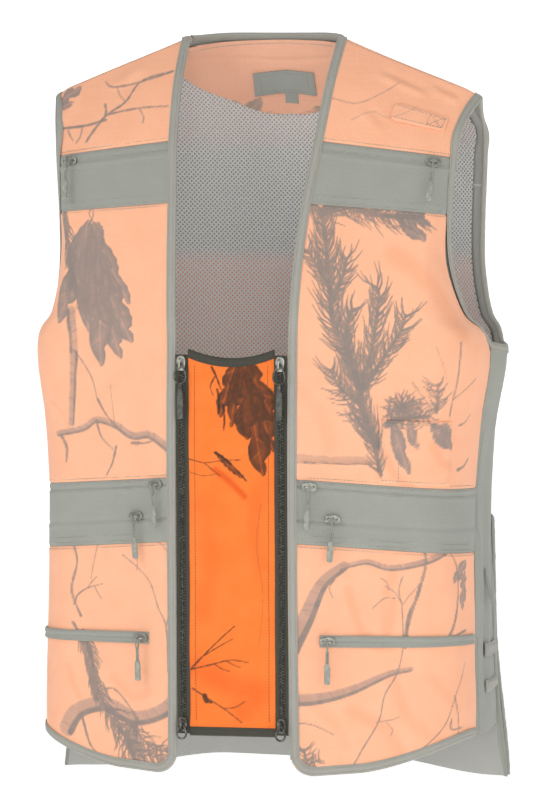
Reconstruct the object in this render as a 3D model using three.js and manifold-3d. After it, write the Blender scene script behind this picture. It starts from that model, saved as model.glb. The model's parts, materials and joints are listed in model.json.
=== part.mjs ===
// Blaze orange field vest with a zip-in front insert.
// Millimetres, +Z up, the front faces -Y and +X is the wearer's left.
// Origin: midway between the shoulders, at the height of the neck points.
import * as THREE from 'three';
import Module from 'manifold-3d';
import { mergeVertices } from 'three/addons/utils/BufferGeometryUtils.js';

const wasm = await Module();
wasm.setup();

// ---- Heights, measured down from the neck points --------------------------
const yokeDrop = 104;            // lower edge of the front yoke, at the opening
const chestBandHeight = 62;      // dark band under the yoke
const underarmDrop = 304;        // lowest point of the armhole seam
const waistDrop = 438;           // top of the waist band, at the opening
const waistBandHeight = 64;
const hemDrop = 735;             // lower edge of the vest
const shoulderDrop = 62;         // shoulder tip below the neck point
const outerRowSag = 12;          // seams hang lower at the side than at the opening
const hemSideRise = 13;          // hem is higher at the side than at the opening
const backYokeDrop = 150;        // lower edge of the back yoke, at the middle

// ---- Half widths from the middle plane ------------------------------------
const neckHalfWidth = 77;
const shoulderHalfWidth = 223;
const armholeHalfWidth = 203;    // where the armhole cuts in deepest
const chestHalfWidth = 227;      // at the underarm
const waistHalfWidth = 218;
const hemHalfWidth = 222;
const openingHalfWidth = 58;     // front edges, below the V of the neck
const underarmBulge = 22;        // side panel stands out under the arm
const sideBulge = 7;             // and a little all the way down

// ---- Depths from the middle plane -----------------------------------------
const frontDepth = 135;          // opening edges at the waist
const hemFrontDepth = 127;
const bandFrontDepth = 109;      // opening edges at the lower edge of the chest band
const backDepth = 119;
const neckFrontReach = 22;       // neck point in front of the middle plane
const neckBackReach = 45;        // back neck edge behind it
const armholeFrontReach = 54;
const armholeBackReach = 58;
const sideFrontReach = 20;       // seam between front and side panel
const sideBackReach = 34;        // seam between side panel and back
const frontPlanSlope = 0.28;     // fronts turn back towards the side, in plan

// ---- Cloth, binding and clearances ----------------------------------------
const clothThickness = 2.4;      // shell with its lining
const bindingWidth = 9.5;
const bindingThickness = 4.4;
const seamGap = 0.3;             // between pieces that touch
const armholeGap = 0.8;          // beside the armhole binding, which twists as it turns
const sideSeamGap = 1.1;         // where cloth turns at the side seams
const foldGap = 1.6;             // half gap where cloth turns over the shoulder
const cornerRadius = 24;         // lower front corners
const straightShare = 0.72;      // part of a front row that is straight in plan

// ---- Insert and its zips ---------------------------------------------------
const insertHalfWidth = 44.6;
const insertTopDrop = 310;
const insertLength = 385;
const insertTopDepth = 134.5;    // in front of the middle plane, at the top of the zips
const insertFootDepth = 129;
const insertTopDip = 9;          // its top edge is hollow in the middle
const insertBindingHeight = 9;
const frontZipTopDrop = 316;
const frontZipLength = 377;
const tapeThickness = 1.6;
const tapeEdgeGap = 1;           // vest-side tape to the edge line of the binding

// ---- Zip sliders and pulls ---------------------------------------------------
const sliderLength = 15;
const sliderNoseWidth = 9.4;
const sliderTailWidth = 6.6;
const sliderThickness = 2.6;
const sliderRunningGap = 0.5;    // between the slider and the tape
const bridgeHeight = 4.6;        // clear height under the bridge's bar
const bridgeBar = 1.8;
const cordThickness = 1.8;
const loopInnerWidth = 3.6;      // loop of a pull, round the bridge
const stemLength = 9;            // cord between the loop and the grip
const pocketPull = { loop: 15, grip: 22 };
const frontPull = { loop: 20, grip: 32 };
const ringPull = { loop: 15, grip: 0 };
const gripWidth = 5.6;
const gripThickness = 3.2;

// ---- Small pieces ------------------------------------------------------------
const facingDepth = 78;          // neck facing, at the middle
const liningStandOff = 3.2;      // mesh lining inside the back
const liningThickness = 1.4;
const labelWidth = 66;
const labelHeight = 22;
const labelStandOff = 0.8;
const labelThickness = 1.2;
const labelTopDrop = 38;
const tabLength = 56;            // tab on the wearer's left shoulder
const tabWidth = 21;
const tabThickness = 1.8;
const tabInset = 17.5;           // from the armhole edge
const penPocketWidth = 70;
const penPocketHeight = 62;
const penPocketThickness = 2;
const penPocketInset = 120;      // from the opening edge
const chestSliderInset = 126;    // closed sliders, from the opening edge
const upperWaistSliderInset = 29;
const lowerWaistSliderInset = 59;
const pocketZipInset = 39;       // inner end of the lower pocket's zip, from the opening edge
const pocketSliderInset = 49;
const weltHeight = 12;
const weltThickness = 2.2;
const weltStandOff = 0.5;
const bagTopDrop = 470;          // game bag over the lower back
const bagThickness = 6;
const bagStandOff = 0.7;         // between the bag and the back panel

const orange = '#fbc095';
const insertOrange = '#f9833c';
const olive = '#a0a198';
const darkOlive = '#3c3a2f';
const meshGrey = '#9a9896';
const steel = '#a9a9a4';
const grip = '#4a4a44';

const vest = new THREE.Group();
const point = (x, y, z) => new THREE.Vector3(x, y, z);
const mix = (a, b, t) => a + (b - a) * t;
const span = (low, high, count) => [...Array(count + 1).keys()].map((i) => mix(low, high, i / count));
const mixPoints = (a, b, t) => new THREE.Vector3().lerpVectors(a, b, t);

function addMesh(name, geometry, color, roughness, metalness = 0, parent = vest) {
  const mesh = new THREE.Mesh(geometry, new THREE.MeshStandardMaterial({ color, roughness, metalness }));
  mesh.name = name;
  parent.add(mesh);
  return mesh;
}

// ---- Booleans ------------------------------------------------------------------
function toSolid(geometry) {
  const bare = geometry.clone();
  bare.deleteAttribute('normal');
  bare.deleteAttribute('uv');
  const merged = mergeVertices(bare, 1e-4);
  const triVerts = new Uint32Array(merged.index.array);
  return new wasm.Manifold(new wasm.Mesh({
    numProp: 3,
    vertProperties: new Float32Array(merged.attributes.position.array),
    triVerts,
  }));
}

function toGeometry(solid) {
  const mesh = solid.getMesh();
  const geometry = new THREE.BufferGeometry();
  geometry.setAttribute('position', new THREE.BufferAttribute(new Float32Array(mesh.vertProperties), 3));
  geometry.setIndex(new THREE.BufferAttribute(new Uint32Array(mesh.triVerts), 1));
  return geometry;
}

const joinAll = (geometries) => toGeometry(geometries.map(toSolid).reduce((a, b) => a.add(b)));
const cutBy = (geometry, cutters) => toGeometry(cutters.map(toSolid).reduce((a, b) => a.subtract(b),
  toSolid(geometry)));

// ---- Closed solids from rings ----------------------------------------------------
// Each ring goes round the section once: outer face from left to right, then inner face back.
function ringSolid(rings, closed = false) {
  const count = rings[0].length;
  const positions = rings.flat().flatMap((p) => [p.x, p.y, p.z]);
  const index = [];
  const quad = (a, b, c, d) => index.push(a, b, c, a, c, d);
  const last = closed ? rings.length : rings.length - 1;
  for (let row = 0; row < last; row += 1) {
    const here = row * count;
    const next = ((row + 1) % rings.length) * count;
    for (let i = 0; i < count; i += 1) {
      const j = (i + 1) % count;
      quad(here + i, here + j, next + j, next + i);
    }
  }
  if (!closed) {
    const foot = (rings.length - 1) * count;
    for (let i = 0; i < count / 2 - 1; i += 1) {
      quad(i + 1, i, count - 1 - i, count - 2 - i);
      quad(foot + i, foot + i + 1, foot + count - 2 - i, foot + count - 1 - i);
    }
  }
  const geometry = new THREE.BufferGeometry();
  geometry.setAttribute('position', new THREE.Float32BufferAttribute(positions, 3));
  geometry.setIndex(index);
  return facingOut(geometry);
}

function facingOut(geometry) {
  const p = geometry.attributes.position;
  const index = geometry.index.array;
  const [a, b, c] = [new THREE.Vector3(), new THREE.Vector3(), new THREE.Vector3()];
  let volume = 0;
  for (let i = 0; i < index.length; i += 3) {
    a.fromBufferAttribute(p, index[i]);
    b.fromBufferAttribute(p, index[i + 1]);
    c.fromBufferAttribute(p, index[i + 2]);
    volume += a.dot(b.cross(c));
  }
  if (volume < 0) index.reverse();
  return geometry;
}

// ---- Surfaces of the vest ----------------------------------------------------------
// A surface runs u from 0 to 1 along a row, and v counts the rows down from the shoulder.
function smoothRows(rows) {
  return (u, v) => {
    const k = Math.min(Math.max(Math.floor(v), 0), rows.length - 2);
    const t = v - k;
    const row = (i) => rows[Math.min(Math.max(i, 0), rows.length - 1)](u);
    const [p0, p1, p2, p3] = [row(k - 1), row(k), row(k + 1), row(k + 2)];
    const blend = (a, b, c, d) => 0.5 * (2 * b + (c - a) * t + (2 * a - 5 * b + 4 * c - d) * t * t
      + (3 * b - a - 3 * c + d) * t * t * t);
    return point(blend(p0.x, p1.x, p2.x, p3.x), blend(p0.y, p1.y, p2.y, p3.y),
      blend(p0.z, p1.z, p2.z, p3.z));
  };
}

// A row runs straight from the opening edge, then bends round to its outer end.
function frontRow(edge, outer, slope, reach, straight) {
  const across = reach * (outer.x - edge.x);
  const turn = point(edge.x + across, edge.y + slope * across, mix(edge.z, outer.z, 0.93 * reach));
  const corner = mixPoints(edge, turn, straight / reach);
  return (u) => {
    if (u < straight) return mixPoints(edge, corner, u / straight);
    const t = (u - straight) / (1 - straight);
    return mixPoints(mixPoints(corner, turn, t), mixPoints(turn, outer, t), t);
  };
}

function backRow(middle, outer) {
  const low = point(outer.x, mix(outer.y, middle.y, 0.55), outer.z);
  const high = point(outer.x * 0.55, middle.y, mix(middle.z, outer.z, 0.3));
  return (u) => new THREE.CubicBezierCurve3(middle, high, low, outer).getPoint(u);
}

function sideRow(front, back, bulge) {
  const out = point(mix(front.x, back.x, 0.5) + bulge, mix(front.y, back.y, 0.5), front.z - bulge * 0.4);
  return (u) => new THREE.QuadraticBezierCurve3(front, out, back).getPoint(u);
}

const bandDrop = yokeDrop + chestBandHeight;
const waistEndDrop = waistDrop + waistBandHeight;
const shoulderTip = point(shoulderHalfWidth, -10, -shoulderDrop);
const neckPoint = point(neckHalfWidth, -neckFrontReach, 0);

// Rows of the front, counted down: 0 shoulder, 2 yoke seam, 3 lower edge of the chest band,
// 6 underarm, 8 and 9 the waist band, 11 the hem.
const yokeRow = 2;
const bandRow = 3;
const underarmRow = 6;
const waistRow = 8;
const waistEndRow = 9;
const hemRow = 11;
const slopeShares = [0.1, 0.5, 0.72, 0.86, 0.96, 1, 1, 1, 1, 1, 1, 1];
const turnReaches = [0.93, 0.93, 0.93, 0.93, 0.93, 0.95, 1, 1, 1, 1, 1, 1];
const straightShares = [0.86, 0.86, 0.86, 0.86, 0.86, 0.8, ...Array(6).fill(straightShare)];

const frontEdges = [
  neckPoint,
  point(75, -57, -yokeDrop * 0.42),
  point(71, -87, -yokeDrop),
  point(65, -bandFrontDepth, -bandDrop),
  point(61, mix(-bandFrontDepth, -frontDepth, 0.6), mix(-bandDrop, -underarmDrop, 0.42)),
  point(openingHalfWidth + 1, mix(-bandFrontDepth, -frontDepth, 0.88), mix(-bandDrop, -underarmDrop, 0.76)),
  point(openingHalfWidth, 2 - frontDepth, -underarmDrop - 1),
  point(openingHalfWidth, -frontDepth, mix(-underarmDrop, -waistDrop, 0.5)),
  point(openingHalfWidth, -frontDepth, -waistDrop),
  point(openingHalfWidth, 1 - frontDepth, -waistEndDrop),
  point(openingHalfWidth, mix(-frontDepth, -hemFrontDepth, 0.5), mix(-waistEndDrop, -hemDrop, 0.47)),
  point(openingHalfWidth + 1, -hemFrontDepth, -hemDrop),
];

const frontOuters = [
  shoulderTip,
  point(mix(shoulderHalfWidth, armholeHalfWidth, 0.45), -42, mix(-shoulderDrop, -yokeDrop, 0.65)),
  point(mix(shoulderHalfWidth, armholeHalfWidth, 0.7), 3 - armholeFrontReach, -yokeDrop - outerRowSag * 1.5),
  point(armholeHalfWidth + 1, -armholeFrontReach, -bandDrop - outerRowSag),
  point(armholeHalfWidth + 1, 4 - armholeFrontReach, mix(-bandDrop, -underarmDrop, 0.45)),
  point(mix(armholeHalfWidth, chestHalfWidth, 0.42), -35, mix(-bandDrop, -underarmDrop, 0.8)),
  point(chestHalfWidth, 2 - sideFrontReach, 1 - underarmDrop),
  point(mix(chestHalfWidth, waistHalfWidth, 0.5), -sideFrontReach, mix(-underarmDrop, -waistDrop, 0.54)),
  point(waistHalfWidth, -sideFrontReach, -waistDrop - outerRowSag),
  point(waistHalfWidth, -sideFrontReach - 5, -waistEndDrop - outerRowSag),
  point(mix(waistHalfWidth, hemHalfWidth, 0.5), -sideFrontReach - 9, mix(-waistEndDrop, -hemDrop, 0.47)),
  point(hemHalfWidth, -sideFrontReach - 10, hemSideRise - hemDrop),
];

const backMiddles = [
  null,
  point(0, 66, -52),
  point(0, 84, -118),
  point(0, 95, -180),
  point(0, backDepth - 14, mix(-180, -underarmDrop, 0.48)),
  point(0, backDepth - 9, mix(-180, -underarmDrop, 0.84)),
  point(0, backDepth - 7, -underarmDrop - 6),
  point(0, backDepth - 4, mix(-underarmDrop, -waistDrop, 0.52)),
  point(0, backDepth - 2, -waistDrop - 7),
  point(0, backDepth, -waistEndDrop - 5),
  point(0, backDepth + 2, mix(-waistEndDrop, -hemDrop, 0.47)),
  point(0, backDepth + 3, 5 - hemDrop),
];

const backReaches = [null, 26, 47, 57, armholeBackReach - 3, 42, sideBackReach - 6, sideBackReach - 3,
  sideBackReach, sideBackReach + 4, sideBackReach + 8, sideBackReach + 8];
const backOuters = frontOuters.map((p, k) => (k ? point(p.x, backReaches[k], p.z) : p));

// The top line of the back: round the neck, then out along the shoulder.
const neckShare = 0.4;
function backTopRow(u) {
  if (u > neckShare) return mixPoints(neckPoint, shoulderTip, (u - neckShare) / (1 - neckShare));
  const turn = (u / neckShare) * Math.PI / 2;
  return point(neckHalfWidth * Math.sin(turn),
    -neckFrontReach + (neckBackReach + neckFrontReach) * Math.cos(turn), 0);
}

const frontCloth = smoothRows(frontEdges.map((edge, k) => frontRow(edge, frontOuters[k],
  frontPlanSlope * slopeShares[k], turnReaches[k], straightShares[k])));
const backCloth = smoothRows(backMiddles.map((middle, k) => (k ? backRow(middle, backOuters[k]) : backTopRow)));
const sideRows = frontOuters.map((p, k) => sideRow(p, backOuters[k],
  k <= underarmRow ? underarmBulge : mix(underarmBulge, sideBulge, Math.min(1, (k - underarmRow) / 2))));
const sideCloth = smoothRows(sideRows);

// Lower front corners are rounded, by lifting the hem near the opening.
function roundedFront(u, v) {
  const p = frontCloth(u, v);
  const reach = p.x - frontEdges[hemRow].x;
  const near = Math.max(0, 1 - (hemRow - v) * (hemDrop - waistEndDrop) / 2 / cornerRadius);
  if (reach < cornerRadius && near > 0) {
    const side = cornerRadius - Math.max(reach, 0);
    p.z += near * (cornerRadius - Math.sqrt(cornerRadius ** 2 - side ** 2));
  }
  return p;
}

function normalAt(surface, u, v, sign) {
  const h = 0.004;
  const along = surface(Math.min(u + h, 1), v).sub(surface(Math.max(u - h, 0), v));
  const down = surface(u, Math.min(v + h, hemRow)).sub(surface(u, Math.max(v - h, 0)));
  return along.cross(down).normalize().multiplyScalar(sign);
}

const fronts = { surface: roundedFront, sign: -1 };
const backs = { surface: backCloth, sign: 1 };
const sides = { surface: sideCloth, sign: -1 };
const mirrored = (p) => point(-p.x, p.y, p.z);

function offsetPoint(part, u, v, out) {
  const p = part.surface(u, v);
  return p.addScaledVector(normalAt(part.surface, u, v, part.sign), out);
}

// Cloth piece on a surface: its u range may change from row to row. The columns are a count,
// or a list of fixed places between the two ends, so that layers crease in the same places.
function clothPiece(part, { rows, columns, uAt, inner, outer, mirror = false }) {
  const rings = rows.map((v) => {
    const [low, high] = uAt(v);
    const places = Array.isArray(columns) ? [low, ...columns, high] : span(low, high, columns);
    const line = (out) => places.map((u) => offsetPoint(part, u, v, out));
    return [...line(outer), ...line(inner).reverse()];
  });
  return ringSolid(mirror ? rings.map((ring) => ring.map(mirrored)) : rings);
}

const half = clothThickness / 2;
const rowLength = (part, v) => {
  let total = 0;
  for (let i = 0; i < 12; i += 1) {
    total += part.surface(i / 12, v).distanceTo(part.surface((i + 1) / 12, v));
  }
  return total;
};
const columnLength = (part, v) => part.surface(0.5, Math.min(v + 0.5, hemRow))
  .distanceTo(part.surface(0.5, Math.max(v - 0.5, 0)));
const uFor = (part, v, length) => length / rowLength(part, v);
const vFor = (part, v, length) => length / columnLength(part, v);

// ---- Bindings ------------------------------------------------------------------------
// Each is also made a little larger, as the tool that trims the cloth beside it.
const bindHalf = bindingThickness / 2;
const trimHalf = bindHalf + clothThickness;
const mirrorOf = { left: false, right: true };
const towards = (part, u, v, du, dv) => part.surface(u + du, v + dv).sub(part.surface(u, v)).normalize();

// Ring corners on the edge and one binding width into the cloth.
function bindingRing(part, u, v, into, mirror, grow) {
  const edge = part.surface(u, v);
  const normal = normalAt(part.surface, Math.min(Math.max(u, 0.01), 0.99), v, part.sign);
  const thick = grow ? trimHalf : bindHalf;
  const inside = edge.clone().addScaledVector(into, bindingWidth + grow);
  edge.addScaledVector(into, -grow);
  const corners = [
    edge.clone().addScaledVector(normal, thick), inside.clone().addScaledVector(normal, thick),
    inside.clone().addScaledVector(normal, -thick), edge.clone().addScaledVector(normal, -thick),
  ];
  return mirror ? corners.map(mirrored) : corners;
}

// Rings lie closer together where the binding turns over the shoulder.
const armholeRings = [...span(0.06, 1, 9), ...span(1.3, underarmRow - 0.35, 14)];

function armholeBinding(mirror, grow = 0) {
  const frontLine = armholeRings.map((v) => (
    bindingRing(fronts, 1, v, towards(fronts, 1, v, -0.02, 0), mirror, grow)));
  const underLine = span(0.04, 0.96, 5).map((u) => {
    const fanOut = point(0, (u - 0.5) * 1.1, 0);
    const into = towards(sides, u, underarmRow, 0, 0.05).add(fanOut).normalize();
    return bindingRing(sides, u, underarmRow, into, mirror, grow);
  });
  const backLine = armholeRings.map((v) => (
    bindingRing(backs, 1, v, towards(backs, 1, v, -0.02, 0), mirror, grow))).reverse();
  return ringSolid([...frontLine, ...underLine, ...backLine], true);
}

// Down the opening edge, round the lower corner and along the hem.
function frontBinding(mirror, grow = 0) {
  const thick = grow ? trimHalf : bindHalf;
  const down = clothPiece(fronts, {
    rows: [vFor(fronts, 0.3, foldGap), ...span(0.5, hemRow - 0.5, 20), hemRow - 0.2, hemRow - 0.1, hemRow],
    columns: 2, uAt: (v) => [0, uFor(fronts, v, bindingWidth + grow)], inner: -thick, outer: thick, mirror,
  });
  const hem = clothPiece(fronts, {
    rows: [hemRow - vFor(fronts, hemRow - 0.5, bindingWidth + grow), hemRow],
    columns: 12,
    uAt: (v) => [uFor(fronts, v, bindingWidth * 0.5), 1 - uFor(fronts, v, seamGap)],
    inner: -thick - 0.2, outer: thick + 0.2, mirror,
  });
  return joinAll([down, hem]);
}

const neckSpan = neckShare - 0.015;
const neckBinding = (grow = 0) => ringSolid(span(-neckSpan, neckSpan, 18).map((u) => (
  bindingRing(backs, Math.abs(u), 0, towards(backs, Math.abs(u), 0, 0, 0.1), u < 0, grow))));

for (const [side, mirror] of Object.entries(mirrorOf)) {
  addMesh(`front_binding_${side}`, frontBinding(mirror), olive, 0.8);
  addMesh(`armhole_binding_${side}`, armholeBinding(mirror), olive, 0.8);
}
addMesh('neck_binding', neckBinding(), olive, 0.8);

// ---- Front shell: yoke, chest band, chest panel, waist band, lower pocket ---------
const cornerFan = 0.2;           // rows over which the armhole binding runs out below the arm
const underBinding = bindingWidth * 0.5;
const pastArm = (v) => Math.min(1, Math.max(0, (v - underarmRow) / cornerFan));
const frontReach = (v) => [
  uFor(fronts, v, bindingWidth + seamGap),
  1 - uFor(fronts, v, mix(underBinding, seamGap, pastArm(v))),
];

// Places where every layer on the chest and lower front creases as it turns to the side.
const pocketCreases = [0.25, 0.5, straightShare, 0.76, 0.8, 0.84, 0.88, 0.92, 0.96];
const frontPieces = [
  ['yoke', 0, yokeRow, 7, 7, orange],
  ['chest_band', yokeRow, bandRow, 2, 7, olive],
  ['chest_panel', bandRow, waistRow, 8, pocketCreases, orange],
  ['waist_band', waistRow, waistEndRow, 2, 9, olive],
  ['lower_pocket', waistEndRow, hemRow, 6, pocketCreases, orange],
];

for (const [name, top, foot, count, columns, color] of frontPieces) {
  const start = top + (top ? vFor(fronts, top, seamGap / 2) : vFor(fronts, 0.3, foldGap));
  const lift = foot === hemRow ? bindingWidth * 0.6 : seamGap / 2;
  const rows = span(start, foot - vFor(fronts, foot - 0.5, lift), count);
  for (const [side, mirror] of Object.entries(mirrorOf)) {
    const cloth = clothPiece(fronts, {
      rows, columns, uAt: frontReach, inner: -half, outer: half, mirror,
    });
    const trimmers = [frontBinding(mirror, seamGap), armholeBinding(mirror, armholeGap)];
    addMesh(`${name}_${side}`, cutBy(cloth, trimmers), color, 0.85);
  }
}

// ---- Side panels ---------------------------------------------------------------------
const sideTop = underarmRow + vFor(sides, underarmRow + 0.5, underBinding);
for (const [side, mirror] of Object.entries(mirrorOf)) {
  const cloth = clothPiece(sides, {
    rows: span(sideTop, hemRow, 8),
    columns: 4,
    uAt: (v) => [uFor(sides, v, sideSeamGap), 1 - uFor(sides, v, sideSeamGap)],
    inner: -half,
    outer: half,
    mirror,
  });
  addMesh(`side_panel_${side}`, cutBy(cloth, [armholeBinding(mirror, armholeGap)]), olive, 0.85);
}

// ---- Back: yoke, panel, mesh lining, neck facing, game bag --------------------------
// The back is one piece from side to side. All its layers crease at the same places, and a
// layer with a few columns left off at each side is narrower.
const backColumns = 20;
const backReach = (v) => 1 - uFor(backs, v, mix(underBinding, sideSeamGap, pastArm(v)));

function backPiece({ rows, leftOff = 0, inner, outer }) {
  const rings = rows.map((v) => {
    const across = span(-backReach(v), backReach(v), backColumns).slice(leftOff, backColumns + 1 - leftOff);
    const line = (out) => across.map((u) => {
      const p = offsetPoint(backs, Math.abs(u), v, out);
      return u < 0 ? mirrored(p) : p;
    });
    return [...line(outer), ...line(inner).reverse()];
  });
  return ringSolid(rings);
}

const backTop = vFor(backs, 0.3, Math.max(underBinding, foldGap));
const backYokeRow = 2 + (backYokeDrop - 118) / 62;
const facingRow = 1 + (facingDepth - 52) / 66;
const backTrimmers = [neckBinding(seamGap), armholeBinding(false, armholeGap), armholeBinding(true, armholeGap)];
const yokeRows = span(backTop, backYokeRow - vFor(backs, backYokeRow, seamGap / 2), 9);
addMesh('back_yoke', cutBy(backPiece({ rows: yokeRows, inner: -half, outer: half }), backTrimmers),
  orange, 0.85);
const panelRows = span(backYokeRow + vFor(backs, backYokeRow, seamGap / 2), hemRow, 12);
addMesh('back_panel', cutBy(backPiece({ rows: panelRows, inner: -half, outer: half }), backTrimmers),
  orange, 0.85);

const liningOuter = -half - liningStandOff;
const facingRows = span(backTop + vFor(backs, 0.3, bindingWidth), facingRow - vFor(backs, 1, seamGap / 2), 4);
addMesh('neck_facing', backPiece({
  rows: facingRows, leftOff: 5, inner: liningOuter - liningThickness, outer: liningOuter,
}), orange, 0.85);
const liningRows = span(facingRow + vFor(backs, 1, seamGap / 2), waistEndRow, 8);
addMesh('mesh_lining', backPiece({
  rows: liningRows, leftOff: 2, inner: liningOuter - liningThickness, outer: liningOuter,
}), meshGrey, 0.9);

const bagRow = waistRow + (bagTopDrop - waistDrop) / waistBandHeight;
addMesh('game_bag', backPiece({
  rows: span(bagRow, hemRow - vFor(backs, hemRow - 0.5, 2), 7),
  leftOff: 1, inner: half + bagStandOff, outer: half + bagStandOff + bagThickness,
}), olive, 0.85);

// ---- Insert panel with its bindings ---------------------------------------------------
// The insert and its zips lie on one straight slope, so that the sliders run freely.
const zipDepthAt = (z) => mix(-insertTopDepth, -insertFootDepth, (-frontZipTopDrop - z) / frontZipLength);
const insertTop = -insertTopDrop;
const insertFoot = insertTop - insertLength;
const dip = (x) => insertTopDip * (1 - (x / insertHalfWidth) ** 2);
function insertStrip(topAt, footAt, thickness, rows) {
  const rings = span(0, 1, rows).map((t) => {
    const line = (out) => span(-insertHalfWidth, insertHalfWidth, 8).map((x) => {
      const z = mix(topAt(x), footAt(x), t);
      return point(x, zipDepthAt(z) - out, z);
    });
    return [...line(thickness / 2), ...line(-thickness / 2).reverse()];
  });
  return ringSolid(rings);
}

const insert = new THREE.Group();
vest.add(insert);
addMesh('insert_panel', insertStrip(
  (x) => insertTop - dip(x) - insertBindingHeight - seamGap,
  () => insertFoot + insertBindingHeight + seamGap, clothThickness, 4,
), insertOrange, 0.8, 0, insert);
addMesh('insert_top_binding', insertStrip(
  (x) => insertTop - dip(x), (x) => insertTop - dip(x) - insertBindingHeight, bindingThickness, 2,
), darkOlive, 0.8, 0, insert);
addMesh('insert_bottom_binding', insertStrip(
  () => insertFoot + insertBindingHeight, () => insertFoot, bindingThickness, 2,
), darkOlive, 0.8, 0, insert);

// ---- Front zips: one half on the vest, one on the insert ----------------------------
const zipMiddle = (insertHalfWidth + openingHalfWidth) / 2;
function zipHalf(low, high, sign) {
  const rings = span(0, 1, 2).map((t) => {
    const z = -frontZipTopDrop - t * frontZipLength;
    const y = zipDepthAt(z);
    return [point(sign * low, y - tapeThickness / 2, z), point(sign * high, y - tapeThickness / 2, z),
      point(sign * high, y + tapeThickness / 2, z), point(sign * low, y + tapeThickness / 2, z)];
  });
  return ringSolid(rings);
}

const sideSigns = { left: 1, right: -1 };
for (const [side, sign] of Object.entries(sideSigns)) {
  addMesh(`front_zip_vest_side_${side}`, zipHalf(zipMiddle + seamGap / 2, openingHalfWidth - tapeEdgeGap, sign),
    darkOlive, 0.6);
  addMesh(`front_zip_insert_side_${side}`, zipHalf(insertHalfWidth + seamGap, zipMiddle - seamGap / 2, sign),
    darkOlive, 0.6, 0, insert);
}

// ---- Sliders and pulls ------------------------------------------------------------------
// Slider: a wedge plate with a bridge along it. Local X runs along the zip, Z stands off the cloth.
function sliderGeometry() {
  const outline = new THREE.Shape();
  const [long, nose, tail] = [sliderLength / 2, sliderNoseWidth / 2, sliderTailWidth / 2];
  outline.moveTo(-long, -tail);
  outline.lineTo(long * 0.2, -nose);
  outline.quadraticCurveTo(long, -nose, long, 0);
  outline.quadraticCurveTo(long, nose, long * 0.2, nose);
  outline.lineTo(-long, tail);
  outline.closePath();
  const plate = new THREE.ExtrudeGeometry(outline, {
    depth: sliderThickness, bevelEnabled: false, curveSegments: 4,
  });
  const bridge = new THREE.Shape();
  const [reach, rise] = [long * 0.72, sliderThickness + bridgeHeight + bridgeBar];
  bridge.moveTo(-reach, sliderThickness / 2);
  bridge.lineTo(-reach, rise - 2);
  bridge.lineTo(-reach + 2, rise);
  bridge.lineTo(reach - 2, rise);
  bridge.lineTo(reach, rise - 2);
  bridge.lineTo(reach, sliderThickness / 2);
  bridge.lineTo(reach - bridgeBar, sliderThickness / 2);
  bridge.lineTo(reach - bridgeBar, rise - bridgeBar);
  bridge.lineTo(-reach + bridgeBar, rise - bridgeBar);
  bridge.lineTo(-reach + bridgeBar, sliderThickness / 2);
  bridge.closePath();
  const arch = new THREE.ExtrudeGeometry(bridge, { depth: bridgeBar, bevelEnabled: false });
  arch.rotateX(Math.PI / 2);
  arch.translate(0, bridgeBar / 2, 0);
  return joinAll([plate, arch]);
}

// Long round-ended loop in the XY plane, from y = +radius down to y = -length.
function loopGeometry(length, innerWidth) {
  const inner = innerWidth / 2;
  const outer = inner + cordThickness;
  const track = (radius, shape) => {
    shape.absarc(0, 0, radius, 0, Math.PI, false);
    shape.absarc(0, -length + inner + cordThickness * 2, radius, Math.PI, 2 * Math.PI, false);
    shape.closePath();
    return shape;
  };
  const shape = track(outer, new THREE.Shape());
  shape.holes.push(track(inner, new THREE.Path()));
  const geometry = new THREE.ExtrudeGeometry(shape, {
    depth: cordThickness, bevelEnabled: false, curveSegments: 5,
  });
  geometry.translate(0, 0, -cordThickness / 2);
  return geometry;
}

// Pull: loop, short cord and moulded grip, hanging along -Y from the pivot at the origin.
// A pull without a grip is a bare ring.
function pullGeometry(size, across) {
  const loop = loopGeometry(size.loop, loopInnerWidth);
  if (across) loop.translate(0, -loopInnerWidth / 2 - cordThickness / 2, 0);
  else loop.rotateY(Math.PI / 2);
  if (!size.grip) return joinAll([loop]);
  const loopFoot = -size.loop - (across ? loopInnerWidth / 2 : 0);
  const stem = new THREE.BoxGeometry(cordThickness * 1.3, stemLength, cordThickness);
  stem.translate(0, loopFoot - stemLength / 2 + 2, 0);
  const outline = new THREE.Shape();
  const wide = gripWidth / 2;
  outline.moveTo(-wide * 0.55, 0);
  outline.lineTo(wide * 0.55, 0);
  outline.lineTo(wide, -4);
  outline.lineTo(wide, -size.grip + 2);
  outline.quadraticCurveTo(wide, -size.grip, 0, -size.grip);
  outline.quadraticCurveTo(-wide, -size.grip, -wide, -size.grip + 2);
  outline.lineTo(-wide, -4);
  outline.closePath();
  const moulded = new THREE.ExtrudeGeometry(outline, {
    depth: gripThickness, bevelEnabled: false, curveSegments: 3,
  });
  moulded.translate(0, loopFoot - stemLength + 3, -gripThickness / 2);
  return joinAll([loop, stem, moulded]);
}

// A frame on the cloth: X along the zip, Z off the cloth. Y is up for a level zip.
function seatFrame(origin, along, normal) {
  const xAxis = along.clone().normalize();
  const yAxis = normal.clone().cross(xAxis).normalize();
  const zAxis = xAxis.clone().cross(yAxis).normalize();
  const frame = new THREE.Matrix4().makeBasis(xAxis, yAxis, zAxis);
  frame.setPosition(origin);
  return frame;
}

const pivotHeight = sliderThickness + bridgeHeight + bridgeBar / 2;
const strandHeight = sliderThickness + bridgeHeight - cordThickness / 2 - 0.6;

function place(mesh, frame, local) {
  const matrix = frame.clone().multiply(new THREE.Matrix4().makeTranslation(...local));
  matrix.decompose(mesh.position, mesh.quaternion, mesh.scale);
}

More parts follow.
